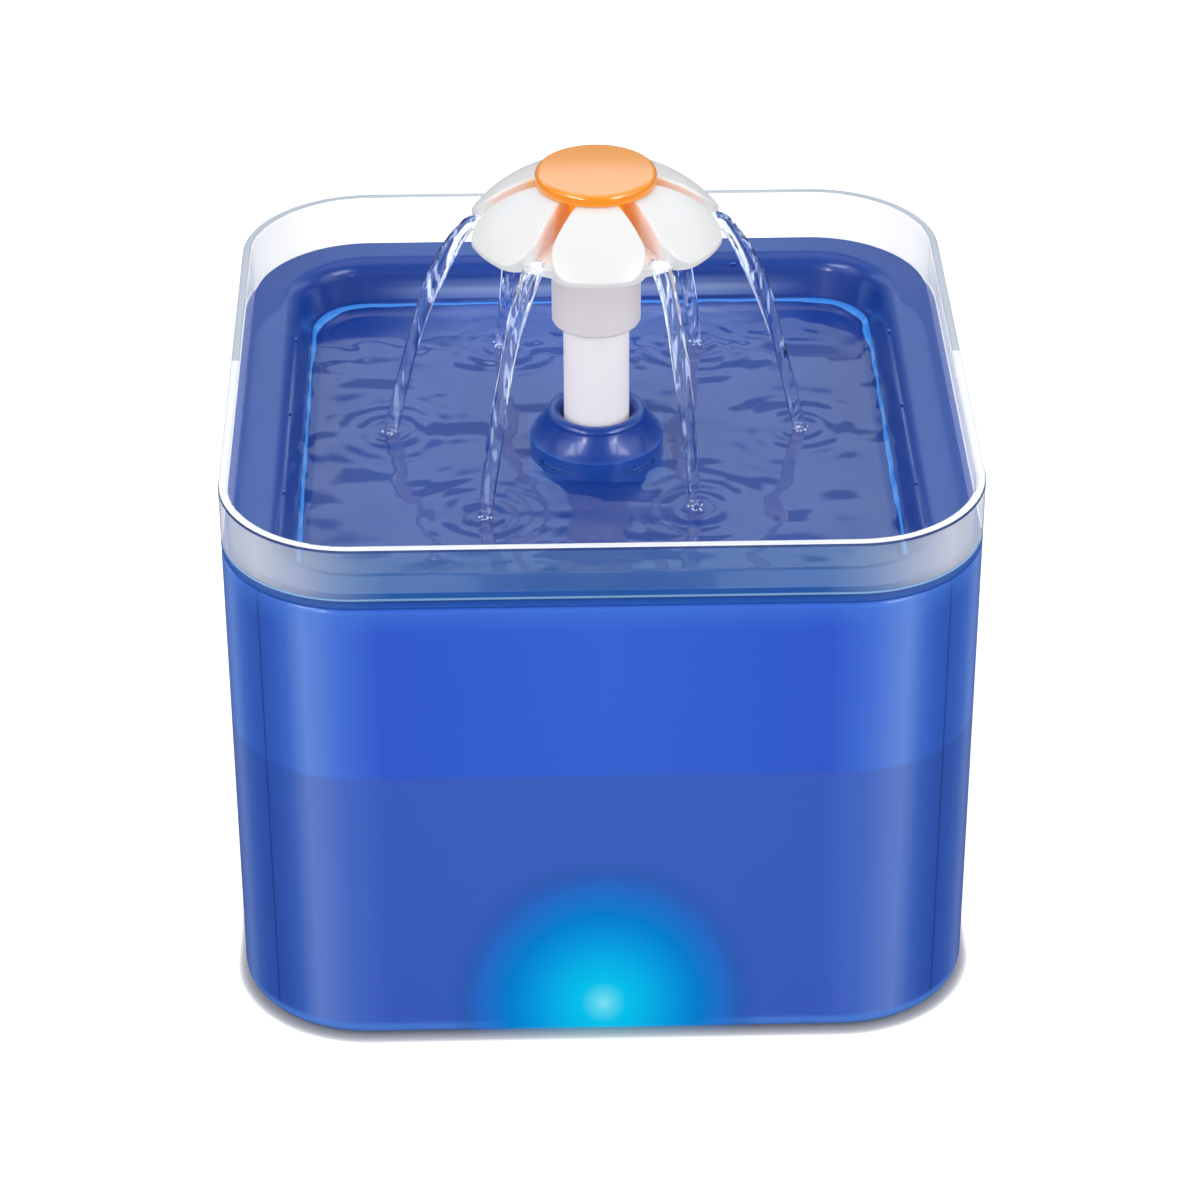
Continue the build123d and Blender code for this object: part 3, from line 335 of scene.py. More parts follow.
def tank_plastic():
    """Blue see-through plastic, with painted highlights along the corners, greyer where water
    stands behind it, with painted lighter bands along the bottom and top edges, and the lamp's
    glow painted low in front."""
    material, tree, shader = new_material("tank_blue")
    where, place = object_place(tree)
    height = height_in_mm(tree, place)
    from_corner = off_diagonal(tree, *both_sides(tree, place))
    # painted highlights: both ramps put a dark line on each corner's diagonal and a light band
    # beside it, as the lamps would
    dry_painted_light = ramp(tree, from_corner, [
        (0.0, (0.015, 0.06, 0.34)), (0.008, (0.032, 0.11, 0.53)), (0.065, (0.036, 0.125, 0.6)),
        (0.12, (0.06, 0.17, 0.67)), (0.19, (0.15, 0.3, 0.84)), (0.24, (0.125, 0.26, 0.82)),
        (0.31, (0.07, 0.19, 0.78)), (0.42, (0.037, 0.118, 0.71)), (1.0, (0.045, 0.145, 0.76))],
               "LINEAR")
    wet = ramp(tree, from_corner, [
        (0.0, (0.012, 0.05, 0.28)), (0.008, (0.028, 0.092, 0.46)), (0.065, (0.034, 0.105, 0.5)),
        (0.12, (0.055, 0.145, 0.57)), (0.19, (0.145, 0.25, 0.7)), (0.24, (0.125, 0.22, 0.68)),
        (0.31, (0.075, 0.17, 0.65)), (0.42, (0.052, 0.127, 0.6)), (1.0, (0.055, 0.138, 0.6))],
               "LINEAR")
    under_water = ramp(tree, math_node(tree, "DIVIDE", height, 100.0), [
        (0.768, (1, 1, 1)), (0.782, (0, 0, 0))])
    colour = mix_colour(tree, under_water, dry_painted_light, wet)
    # painted highlight: lighter bands along the bottom edge and the top edge
    painted_edge_highlight = ramp(tree, math_node(tree, "DIVIDE", height, 140.0), [
        (0.008, (1, 1, 1)), (0.026, (0.75, 0.75, 0.75)), (0.036, (0, 0, 0)), (0.84, (0, 0, 0)),
        (0.888, (0.3, 0.3, 0.3))], "LINEAR")
    colour = mix_colour(tree, painted_edge_highlight, colour, (0.1, 0.3, 0.9))
    # painted glow of the lamp behind the front wall: it drowns the wall's own colour
    flat = add_node(tree, "ShaderNodeVectorMath", operation="MULTIPLY_ADD")
    tree.links.new(where.outputs["Object"], flat.inputs[0])
    flat.inputs[1].default_value = (1, 1, GLOW_FLATTENED)
    flat.inputs[2].default_value = tuple(-side * MM for side in GLOW_MIDDLE)
    spread = add_node(tree, "ShaderNodeVectorMath", operation="LENGTH")
    tree.links.new(flat.outputs[0], spread.inputs[0])
    reach = math_node(tree, "DIVIDE", spread.outputs["Value"], GLOW_REACH * MM)
    drowned = ramp(tree, reach, [(0.6, (1, 1, 1)), (0.82, (0.5, 0.5, 0.5)), (1.0, (0, 0, 0))],
                   "LINEAR")
    colour = mix_colour(tree, drowned, colour, (0.0, 0.004, 0.02))
    glow = ramp(tree, reach, [
        (0.0, (0.2, 0.74, 0.86)), (0.06, (0.08, 0.63, 0.83)), (0.14, (0.0, 0.52, 0.8)),
        (0.28, (0.0, 0.42, 0.76)), (0.44, (0.0, 0.29, 0.69)), (0.62, (0.0, 0.18, 0.55)),
        (0.76, (0.0, 0.1, 0.36)), (0.88, (0.0, 0.03, 0.11)), (1.0, (0.0, 0.0, 0.0))],
                "LINEAR")
    skin(tree, shader, colour, drift=0.02, roughness=0.14, haze=0.05, grain=900.0, depth=0.02)
    light_up(tree, shader, glow)
    set_inputs(shader, {"Specular IOR Level": 0.2, "Transmission Weight": 0.06})
    return material


def tray_plastic():
    """Deep blue plastic, with a painted bright line just under the waterline, painted soft light
    on the rear wall and the collar's foot, and painted light on the lip in front.
    """
    material, tree, shader = new_material("tray_blue")
    where, place = object_place(tree)
    height = height_in_mm(tree, place)
    across, along = both_sides(tree, place)
    skin(tree, shader, (0.004, 0.05, 0.33), drift=0.03, roughness=0.3, haze=0.06, grain=1300.0,
         depth=0.03)
    uneven = noise_texture(tree, where.outputs["Object"], 75, 1)
    corner = ramp(tree, math_node(tree, "DIVIDE", math_node(
        tree, "ADD", across, along), 160 * MM), [
        (0.74, (1.35, 1.35, 1.35)), (0.83, (2.3, 2.3, 2.3))])
    side = ramp(tree, math_node(tree, "DIVIDE", across, 100 * MM), [
        (0.64, (0.8, 0.8, 0.8)), (0.71, (1.6, 1.6, 1.6))])
    thick = times(tree, corner, side, math_node(
        tree, "ADD", 0.1, times(tree, uneven.outputs["Fac"], 1.5)))
    below = math_node(tree, "SUBTRACT", WATERLINE_MARK, height)
    # painted light: a bright line glows on the basin's wall just under the waterline, thicker in
    # the corners
    painted_waterline_glow = ramp(tree, math_node(tree, "DIVIDE", below, thick), [
        (0.0, (0.0, 0.05, 0.2)), (0.1, (0.03, 0.18, 0.48)), (0.8, (0.055, 0.26, 0.6)),
        (1.0, (0, 0, 0))])
    furthest = math_node(tree, "MAXIMUM", across, along)
    facing = add_node(tree, "ShaderNodeSeparateXYZ")
    tree.links.new(where.outputs["Normal"], facing.inputs[0])
    wet = times(tree, math_node(tree, "GREATER_THAN", furthest, WALL_START * MM),
                math_node(tree, "GREATER_THAN", below, 0.0),
                math_node(tree, "GREATER_THAN", facing.outputs[2], 0.05))
    # painted soft light on the rear wall above the water, and a painted brighter reflection of
    # that wall in the water
    rear = times(tree, math_node(tree, "GREATER_THAN", place[1], BODY_MIDDLE * MM),
                 ramp(tree, math_node(tree, "DIVIDE", across, 100 * MM), [
                     (0.3, (1, 1, 1)), (0.62, (0, 0, 0))]))
    soft = ramp(tree, part_of_span(tree, height, WATERLINE_MARK, SOFT_LIGHT_SPAN), [
        (0.1, (0, 0, 0)), (0.2, (0.1, 0.14, 0.22)), (0.42, (0.18, 0.22, 0.25)),
        (0.6, (0.07, 0.09, 0.1)), (0.85, (0, 0, 0))])
    path = add_node(tree, "ShaderNodeLightPath")
    mirrored = times(tree, path.outputs["Is Glossy Ray"], path.outputs["Is Reflection Ray"])
    soft = mix_colour(tree, mirrored, soft, (1.2, 1.5, 1.8))
    # painted light: the collar's foot below this height glows faintly blue
    foot = times(tree, math_node(tree, "LESS_THAN", furthest, COLLAR_HALF * MM),
                 math_node(tree, "LESS_THAN", height, COLLAR_PAINTED_GLOW_TOP))
    dry_painted_light = mix_colour(tree, rear, mix_colour(tree, foot, (0.0, 0.0, 0.0), (0.006, 0.022, 0.07)),
                     soft)
    # painted light on the lip that shows through the ring in front
    edge = times(tree, beyond_outline(tree, across, along, TRAY_LIP),
                 math_node(tree, "LESS_THAN", place[1], TRAY_FRONT * MM))
    painted_lip_light = ramp(tree, part_of_span(tree, height, LIP_FOOT, LIP_SPAN), [
        (0.0, (0.0, 0.02, 0.1)), (0.82, (0.0, 0.02, 0.1)), (0.9, (0.0, 0.015, 0.08))], "LINEAR")
    light_up(tree, shader, mix_colour(tree, edge, mix_colour(tree, wet, dry_painted_light, painted_waterline_glow), painted_lip_light))
    set_inputs(shader, {"Coat Weight": 0.2})
    return material


def clear_plastic():
    """Clear, faintly blue-grey plastic of the splash ring and the lamp window, with a painted
    whitish sheen on the corners, painted highlight and shade lines, and a painted highlight on
    the rim.
    """
    material, tree, shader = new_material("clear_plastic")
    _, place = object_place(tree)
    height = height_in_mm(tree, place)
    across, along = both_sides(tree, place)
    rim = math_node(tree, "GREATER_THAN", height, RING_RIM)
    # painted sheen: the corners turn whitish, where the clear wall bends the light
    corner = ramp(tree, off_diagonal(tree, across, along), [
        (0.0, (0.5, 0.5, 0.5)), (0.2, (0.36, 0.36, 0.36)), (0.45, (0, 0, 0))], "LINEAR")
    front = math_node(tree, "LESS_THAN", place[1], RING_FRONT * MM)
    wall = mix_colour(tree, front, (0.8, 0.84, 0.9), (0.12, 0.42, 0.72))
    wall = mix_colour(tree, math_node(tree, "MULTIPLY", corner, 2.0, clamp=True), wall,
                      (1.0, 1.0, 1.0))
    # painted highlight and shade lines: a dark seam and a light line at the wall's foot, and a
    # dark line under its rim
    levels = part_of_span(tree, height, RING_FOOT, RING_SPAN)
    painted_lines = ramp(tree, levels, [
        (0.05, (0.01, 0.06, 0.36)), (0.085, (0.015, 0.1, 0.45)), (0.18, (0.03, 0.13, 0.5)),
        (0.195, (0.35, 0.6, 1.0)), (0.215, (0.35, 0.6, 1.0)), (0.23, (0.12, 0.42, 0.72)),
        (0.9, (0.12, 0.42, 0.72)), (0.95, (0.03, 0.06, 0.2))], "LINEAR")
    painted_line_cover = ramp(tree, levels, [
        (0.05, (0.85, 0.85, 0.85)), (0.085, (0.45, 0.45, 0.45)), (0.18, (0.3, 0.3, 0.3)),
        (0.195, (0.65, 0.65, 0.65)), (0.215, (0.65, 0.65, 0.65)), (0.23, (0.12, 0.12, 0.12)),
        (0.945, (0.12, 0.12, 0.12)), (0.955, (0.6, 0.6, 0.6))], "LINEAR")
    front_skin = times(tree, beyond_outline(tree, across, along, RING_SKIN),
                       math_node(tree, "LESS_THAN", place[1], -BODY_MIDDLE * MM))
    painted_line_cover = times(tree, painted_line_cover, front_skin)
    wall = mix_colour(tree, math_node(tree, "GREATER_THAN", painted_line_cover, 0.125), wall, painted_lines)
    back = math_node(tree, "GREATER_THAN", place[1], 0.0)
    # painted highlight: the rim's top is near white in front and greyer at the back
    rim_painted_highlight = mix_colour(tree, back, (0.93, 0.95, 0.98), (0.5, 0.55, 0.62))
    skin(tree, shader, mix_colour(tree, rim, wall, rim_painted_highlight), drift=0.01,
         roughness=0.05, haze=0.04, grain=400.0, depth=0.02)
    grazing = add_node(tree, "ShaderNodeLayerWeight")
    grazing.inputs["Blend"].default_value = 0.25
    cover = math_node(tree, "ADD", times(tree, math_node(
        tree, "POWER", grazing.outputs["Facing"], 1.7), 0.9), 0.004)
    cover = math_node(tree, "ADD", cover, times(tree, corner, 0.5))
    cover = math_node(tree, "ADD", cover, painted_line_cover)
    cover = math_node(tree, "ADD", cover, times(tree, rim, 0.8), clamp=True)
    tree.links.new(cover, shader.inputs["Alpha"])
    set_inputs(shader, {"Specular IOR Level": 0.12})
    return material


def water(name, tint, ior=1.333, ripple=0.0):
    """Clear water, tinted in patches; ripple gives its surface a fine relief."""
    material, tree, shader = new_material(name)
    where = add_node(tree, "ShaderNodeTexCoord")
    swell = noise_texture(tree, where.outputs["Object"], 260)
    if ripple:
        bump = relief(tree, swell.outputs["Fac"], ripple, 0.0004)
        tree.links.new(bump.outputs["Normal"], shader.inputs["Normal"])
    tree.links.new(mix_colour(tree, swell.outputs["Fac"], tint, (1.0, 1.0, 1.0)),
                   shader.inputs["Base Color"])
    set_inputs(shader, {"Roughness": 0.0, "Transmission Weight": 1.0, "IOR": ior})
    let_light_through(tree, shader, 0.9)
    return material


def falling_water():
    """Water of the streams: a painted dark outline and a few painted bright highlight strands
    that run along the fall.
    """
    material = water("stream_water", (1, 1, 1), 1.18, 0.25)
    tree = material.node_tree
    shader = tree.nodes["Principled BSDF"]
    grazing = add_node(tree, "ShaderNodeLayerWeight")
    # painted shade: the stream darkens towards its outline
    tree.links.new(ramp(tree, grazing.outputs["Facing"], [
        (0.5, (0.95, 0.97, 1.0)), (0.8, (0.32, 0.46, 0.78)), (0.97, (0.08, 0.16, 0.45))]),
                   shader.inputs["Base Color"])
    where, place = object_place(tree)
    drawn = add_node(tree, "ShaderNodeVectorMath", operation="MULTIPLY")
    tree.links.new(where.outputs["Object"], drawn.inputs[0])
    drawn.inputs[1].default_value = (1, 1, 0.03)
    strands = noise_texture(tree, drawn.outputs[0], 950, 0)
    # the painted highlight strands fade on the way down; the ramp covers heights up to 200 mm
    high = ramp(tree, times(tree, place[2], 5.0), [
        (0.6, (0.25, 0.25, 0.25)), (0.85, (1, 1, 1))], "LINEAR")
    bright = ramp(tree, strands.outputs["Fac"], [(0.64, (0, 0, 0)), (0.72, (0.42, 0.47, 0.6))])
    light_up(tree, shader, mix_colour(tree, 1.0, bright, high, "MULTIPLY"))
    set_inputs(shader, {"Coat Weight": 1.0})
    return material


def flower_plastic():
    """White plastic with painted orange light from the cap in the channels close to it, and a
    painted glow on its underside.
    """
    material, tree, shader = new_material("flower_white")
    where, place = object_place(tree)
    height = height_in_mm(tree, place)
    flat = add_node(tree, "ShaderNodeVectorMath", operation="MULTIPLY")
    tree.links.new(where.outputs["Object"], flat.inputs[0])
    flat.inputs[1].default_value = (1, 1, 0)
    reach = add_node(tree, "ShaderNodeVectorMath", operation="LENGTH")
    tree.links.new(flat.outputs[0], reach.inputs[0])
    # painted light: orange bounced from the cap, fading to white along the channel
    painted_cap_bounce = ramp(tree, math_node(tree, "MULTIPLY", reach.outputs["Value"], 20.0), [
        (0.3, srgb(255, 212, 160)), (0.33, srgb(255, 220, 190)), (0.35, srgb(255, 230, 220)),
        (0.5, srgb(253, 235, 229)), (0.56, srgb(246, 243, 240))], "LINEAR")
    around = math_node(tree, "ARCTAN2", place[1], place[0])
    sixths = math_node(tree, "PINGPONG", math_node(tree, "ABSOLUTE", around), math.pi / 6)
    off_channel = times(tree, math_node(tree, "SINE", sixths), reach.outputs["Value"])
    low = times(tree, math_node(tree, "GREATER_THAN", height, CHANNEL_FLOOR),
                math_node(tree, "LESS_THAN", off_channel, CHANNEL_HALF * MM))
    shaded = ramp(tree, math_node(tree, "DIVIDE", height, 200.0), [
        (0.87, (0.85, 0.815, 0.8)), (0.885, (0.84, 0.84, 0.835))], "LINEAR")
    colour = mix_colour(tree, low, shaded, painted_cap_bounce)
    skin(tree, shader, colour, drift=0.01, roughness=0.34, haze=0.06, grain=1800.0, depth=0.04)
    # painted glow on the underside below the petals
    painted_underside_glow = ramp(tree, math_node(tree, "DIVIDE", height, 200.0), [
        (0.87, (0.085, 0.062, 0.042)), (0.89, (0.015, 0.012, 0.008))], "LINEAR")
    light_up(tree, shader, painted_underside_glow)
    set_inputs(shader, {"Subsurface Weight": 0.1, "Subsurface Radius": (0.002, 0.002, 0.002),
                        "Subsurface Scale": 1.0})
    return material


def stem_plastic():
    """Milky white plastic of the stem, with a painted warm glow that stands in for the light
    falling into it.
    """
    material, tree, shader = new_material("stem_white")
    skin(tree, shader, (0.9, 0.89, 0.88), drift=0.01, roughness=0.3, haze=0.06, grain=1500.0,
         depth=0.03)
    # painted glow: the stem glows faintly warm white
    light_up(tree, shader, (0.2, 0.17, 0.145))
    return material


def cap_plastic():
    """Orange plastic with a painted glow, strongest low on its skirt, and a painted paler sheen
    on its crown.
    """
    material, tree, shader = new_material("cap_orange")
    _, place = object_place(tree)
    height = height_in_mm(tree, place)
    # painted sheen: the top face turns paler than the rim
    painted_crown_sheen = ramp(tree, math_node(tree, "SUBTRACT", height, CAP_CROWN), [
        (0.1, srgb(255, 150, 14)), (0.62, srgb(250, 162, 58))], "LINEAR")
    skin(tree, shader, painted_crown_sheen, drift=0.02, roughness=0.2, haze=0.05, grain=1500.0, depth=0.03)
    # painted glow, strongest on the skirt under the rim, where the cap lies in shade
    lit = ramp(tree, math_node(tree, "DIVIDE", height, 200.0), [
        (0.94, (0.3, 0.15, 0.01)), (0.947, (0.06, 0.015, 0.0)), (0.96, (0.02, 0.01, 0.0))],
               "LINEAR")
    light_up(tree, shader, lit)
    set_inputs(shader, {"Subsurface Weight": 0.25, "Subsurface Radius": (0.004, 0.0015, 0.0004),
                        "Subsurface Scale": 1.0, "Coat Weight": 0.7, "Coat Roughness": 0.06})
    return material


def lamp_lens():
    """Lit lens of the LEDs."""
    material, tree, shader = new_material("led_lit")
    skin(tree, shader, srgb(150, 220, 255), roughness=0.15)
    light_up(tree, shader, (0.25, 0.75, 1.0), 3.0)
    return material


def fibrous(name, dark, pale, scale, depth, roughness=0.95):
    """Foam, felt or loose grains: a cell pattern in colour and relief."""
    material, tree, shader = new_material(name)
    where = add_node(tree, "ShaderNodeTexCoord")
    cells = add_node(tree, "ShaderNodeTexVoronoi")
    cells.inputs["Scale"].default_value = scale
    tree.links.new(where.outputs["Object"], cells.inputs["Vector"])
    colour = ramp(tree, cells.outputs["Distance"], [(0.1, pale), (0.75, dark)])
    tree.links.new(colour, shader.inputs["Base Color"])
    bump = relief(tree, cells.outputs["Distance"], depth, 0.0006, invert=True)
    tree.links.new(bump.outputs["Normal"], shader.inputs["Normal"])
    shader.inputs["Roughness"].default_value = roughness
    return material


def wound(name, colour, scale, metallic, roughness):
    """Metal in layers or turns: copper winding and stacked core plates."""
    material, tree, shader = new_material(name)
    where = add_node(tree, "ShaderNodeTexCoord")
    turns = add_node(tree, "ShaderNodeTexWave", bands_direction="X")
    turns.inputs["Scale"].default_value = scale
    tree.links.new(where.outputs["Object"], turns.inputs["Vector"])
    dark = tuple(value * 0.45 for value in colour)
    tree.links.new(ramp(tree, turns.outputs["Fac"], [(0.0, dark), (0.6, colour)]),
                   shader.inputs["Base Color"])
    bump = relief(tree, turns.outputs["Fac"], 1.0, 0.0003)
    tree.links.new(bump.outputs["Normal"], shader.inputs["Normal"])
    set_inputs(shader, {"Metallic": metallic, "Roughness": roughness})
    return material


TANK_BLUE = tank_plastic()
CLEAR = clear_plastic()
TRAY_BLUE = tray_plastic()
FLOWER_WHITE = flower_plastic()
CAP_ORANGE = cap_plastic()
STEM_WHITE = stem_plastic()
WHITE = plain_plastic("white_plastic", (0.88, 0.88, 0.885), 0.35)
PUMP_BLACK = plain_plastic("pump_black", (0.02, 0.022, 0.026), 0.45, grain=1200.0, depth=0.25)
RUBBER = plain_plastic("rubber_black", (0.025, 0.025, 0.027), 0.6, grain=900.0, depth=0.2)
SILICONE = plain_plastic("silicone_clear", (0.5, 0.54, 0.58), 0.3)
POTTING = plain_plastic("potting_black", (0.012, 0.012, 0.014), 0.3)
CERAMIC = plain_plastic("ceramic_shaft", (0.78, 0.76, 0.7), 0.2, grain=2500.0)
FERRITE = plain_plastic("magnet_ferrite", (0.06, 0.06, 0.065), 0.5, grain=2200.0, depth=0.2)
BOARD = plain_plastic("board_green", (0.02, 0.16, 0.07), 0.4)
LED_LIT = lamp_lens()
FOAM = fibrous("foam_black", (0.006, 0.006, 0.007), (0.05, 0.05, 0.052), 900, 0.9)
FELT = fibrous("felt_white", (0.6, 0.6, 0.58), (0.85, 0.85, 0.83), 1600, 0.5)
CARBON = fibrous("carbon_grains", (0.004, 0.004, 0.004), (0.05, 0.05, 0.05), 520, 1.0, 0.6)
BEADS = fibrous("resin_beads", (0.12, 0.06, 0.015), (0.55, 0.33, 0.1), 900, 1.0, 0.35)
COPPER = wound("copper_turns", (0.72, 0.3, 0.14), 420, 0.9, 0.3)
CORE = wound("core_plates", (0.35, 0.36, 0.38), 260, 0.9, 0.4)
TRAY_WATER_LOOK = water("tray_water", (0.86, 0.93, 1.0))
STREAM_LOOK = falling_water()
TANK_WATER_LOOK = water("tank_water", (0.6, 0.76, 0.95))
BUBBLE_WHITE = plain_plastic("bubble_white", (0.75, 0.82, 0.95), 0.1)

FINISHES = {
    TANK_BLUE: ["tank"],
    CLEAR: ["splash_ring", "led_window"],
    TRAY_BLUE: ["tray"],
    FLOWER_WHITE: ["flower"],
    CAP_ORANGE: ["flower_cap"],
    STEM_WHITE: ["stem_tube"],
    WHITE: ["filter_basket", "impeller", "flow_slider"],
    PUMP_BLACK: ["pump_housing", "volute_plate", "intake_cover"],
    RUBBER: ["foot_pads", "cable_grommet", "cable_gland", "rear_bush"],
    SILICONE: ["outlet_seal", "suction_cups"],
    POTTING: ["potting"],
    CERAMIC: ["rotor_shaft", "front_bush"],
    FERRITE: ["rotor_magnet"],
    BOARD: ["led_board"],
    LED_LIT: ["leds"],
    FOAM: ["filter_sponge", "intake_sponge"],
    FELT: ["lower_felt", "upper_felt"],
    CARBON: ["carbon_bed"],
    BEADS: ["resin_bed"],
    COPPER: ["stator_coil"],
    CORE: ["stator_core"],
}
for material, names in FINISHES.items():
    for name in names:
        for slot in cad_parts[name].material_slots:
            slot.material = material


# ------------------------------------------------------------------ tools for new pieces
def make_piece(name, shape, material, smooth=True):
    """An object made of a bmesh whose points are already in place."""
    mesh = bpy.data.meshes.new(name)
    shape.to_mesh(mesh)
    shape.free()
    mesh.polygons.foreach_set("use_smooth", [smooth] * len(mesh.polygons))
    mesh.materials.append(material)
    piece = bpy.data.objects.new(name, mesh)
    bpy.context.scene.collection.objects.link(piece)
    return piece


def place_mesh(name, shape, material, body, smooth=True):
    """A new piece that rides on a body."""
    piece = make_piece(name, shape, material, smooth)
    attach(piece, body)
    return piece


def join_loops(shape, first, second):
    """A band of faces between two closed loops that have the same number of points."""
    for step, corner in enumerate(first):
        after = (step + 1) % len(first)
        shape.faces.new((corner, first[after], second[after], second[step]))


def outline_reach(angle, half, corner):
    """Distance from the middle to a rounded square, in a direction."""
    across, along = abs(math.cos(angle)), abs(math.sin(angle))
    if across < along:
        across, along = along, across
    straight = half / across
    if straight * along <= half - corner:
        return straight
    middle = half - corner
    reach = middle * (across + along)
    return reach + math.sqrt(reach * reach - 2 * middle * middle + corner * corner)


def wave_height(x, y):
    """Height of the tray's moving water above its mean, in millimetres."""
    swell = 0.62 * noise.noise(Vector((x / 19, y / 11, 0.3)))
    chop = 0.1 * noise.noise(Vector((x / 7.5 + 7, y / 4.2, 1.7)))
    height = swell + chop
    for centre_x, centre_y in STREAM_LANDINGS:
        reach = math.hypot(x - centre_x, y - centre_y)
        if reach < RIPPLE_REACH:
            crests = math.cos(2 * math.pi * (reach - 1) / RIPPLE_LENGTH)
            height += 0.2 * math.exp(-reach / 9) * crests
            height -= DENT_DEPTH * math.exp(-(reach / DENT_RADIUS) ** 2)
    # the water climbs the basin's wall in a rim of uneven width, wider in the corners
    angle = math.atan2(y, x)
    inside = outline_reach(angle, WATERLINE_HALF, WATERLINE_CORNER) - math.hypot(x, y)
    width = 2.6 + 3.2 * noise.noise(Vector((x / 8, y / 8, 5.1)))
    width += 2.2 * max(0.0, 1 - abs(abs(x) - abs(y)) / 16)
    if inside < width:
        height += 0.8 * (1 - max(inside, 0.0) / width) ** 2
    return height


# ------------------------------------------------------------------ water in the tray
def tray_water():
    """The tray's water: a wavy top, walls just inside the basin's plastic and a flat bottom."""
    steps, rings, inner = 384, 120, COLLAR_FOOT - COLLAR_OVERLAP
    shape = bmesh.new()
    bmesh.ops.create_circle(shape, cap_ends=False, segments=steps, radius=inner * MM)
    edges = list(shape.edges)
    for vert in shape.verts:
        vert.co.z = (TRAY_WATER + wave_height(vert.co.x / MM, vert.co.y / MM)) * MM

    def grow(edges, part, half, corner, height):
        made = bmesh.ops.extrude_edge_only(shape, edges=edges)["geom"]
        for vert in (item for item in made if isinstance(item, bmesh.types.BMVert)):
            angle = math.atan2(vert.co.y, vert.co.x)
            reach = inner + part * (outline_reach(angle, half, corner) - inner)
            x, y = reach * math.cos(angle), reach * math.sin(angle)
            level = TRAY_WATER + wave_height(x, y) if height is None else height
            vert.co = Vector((x * MM, y * MM, level * MM))
        return [item for item in made if isinstance(item, bmesh.types.BMEdge)
                and all(len(v.link_faces) == 2 for v in item.verts) and len(item.link_faces) == 1]

    half, corner = WATERLINE_HALF + WALL_OVERLAP, WATERLINE_CORNER + WALL_OVERLAP
    for ring in range(1, rings + 1):
        edges = grow(edges, ring / rings, half, corner, None)
    drop = (TRAY_WATER - TRAY_FLOOR - BASIN_FOOT_HEIGHT) * BASIN_SLOPE
    edges = grow(edges, 1, half - drop, corner - drop, TRAY_FLOOR + BASIN_FOOT_HEIGHT)
    bottom = TRAY_FLOOR - FLOOR_OVERLAP
    edges = grow(edges, 1, half - drop - BASIN_FOOT_RUN, corner - drop - BASIN_FOOT_RUN, bottom)
    edges = grow(edges, 0, half, corner, bottom)
    inner_edges = [edge for edge in shape.edges if len(edge.link_faces) == 1]
    bmesh.ops.bridge_loops(shape, edges=inner_edges)
    bmesh.ops.recalc_face_normals(shape, faces=shape.faces)
    piece = place_mesh("tray_water", shape, TRAY_WATER_LOOK, "tray")


tray_water()


# ------------------------------------------------------------------ water in the tank
def tank_water():
    """The top of the tank's water: a thin sheet a hair inside the walls, open round the stem."""
    steps = 192
    shape = bmesh.new()
    loops = []
    for level in (TANK_WATER - TANK_WATER_DEPTH, TANK_WATER):
        for inner in (False, True):
            loop = []
            for step in range(steps):
                angle = 2 * math.pi * step / steps
                reach = STEM_CLEARANCE if inner else outline_reach(angle, TANK_INSIDE_HALF,
                                                                   TANK_INSIDE_CORNER)
                loop.append(shape.verts.new(Vector((
                    reach * math.cos(angle), reach * math.sin(angle), level)) * MM))
            loops.append(loop)
    low_outer, low_inner, high_outer, high_inner = loops
    for first, second in ((high_outer, high_inner), (low_inner, low_outer),
                          (low_outer, high_outer), (high_inner, low_inner)):
        join_loops(shape, first, second)
    bmesh.ops.recalc_face_normals(shape, faces=shape.faces)
    piece = place_mesh("tank_water", shape, TANK_WATER_LOOK, "tank", smooth=False)


tank_water()


# ------------------------------------------------------------------ bubbles
def bubbles():
    """Small bubbles where each stream meets the water."""
    shape = bmesh.new()
    for number, (x, y) in enumerate(STREAM_LANDINGS):
        for index in range(9):
            angle = 2.4 * index + number
            reach = 0.5 + 0.19 * index
            size = 0.2 + 0.05 * ((3 * index + number) % 4)
            centre_x, centre_y = x + reach * math.cos(angle), y + reach * math.sin(angle)
            level = TRAY_WATER + wave_height(centre_x, centre_y) + 0.12
            bmesh.ops.create_icosphere(
                shape, subdivisions=2, radius=size * MM,
                matrix=Matrix.Translation((centre_x * MM, centre_y * MM, level * MM)))
    piece = place_mesh("stream_bubbles", shape, BUBBLE_WHITE, "tray")


bubbles()


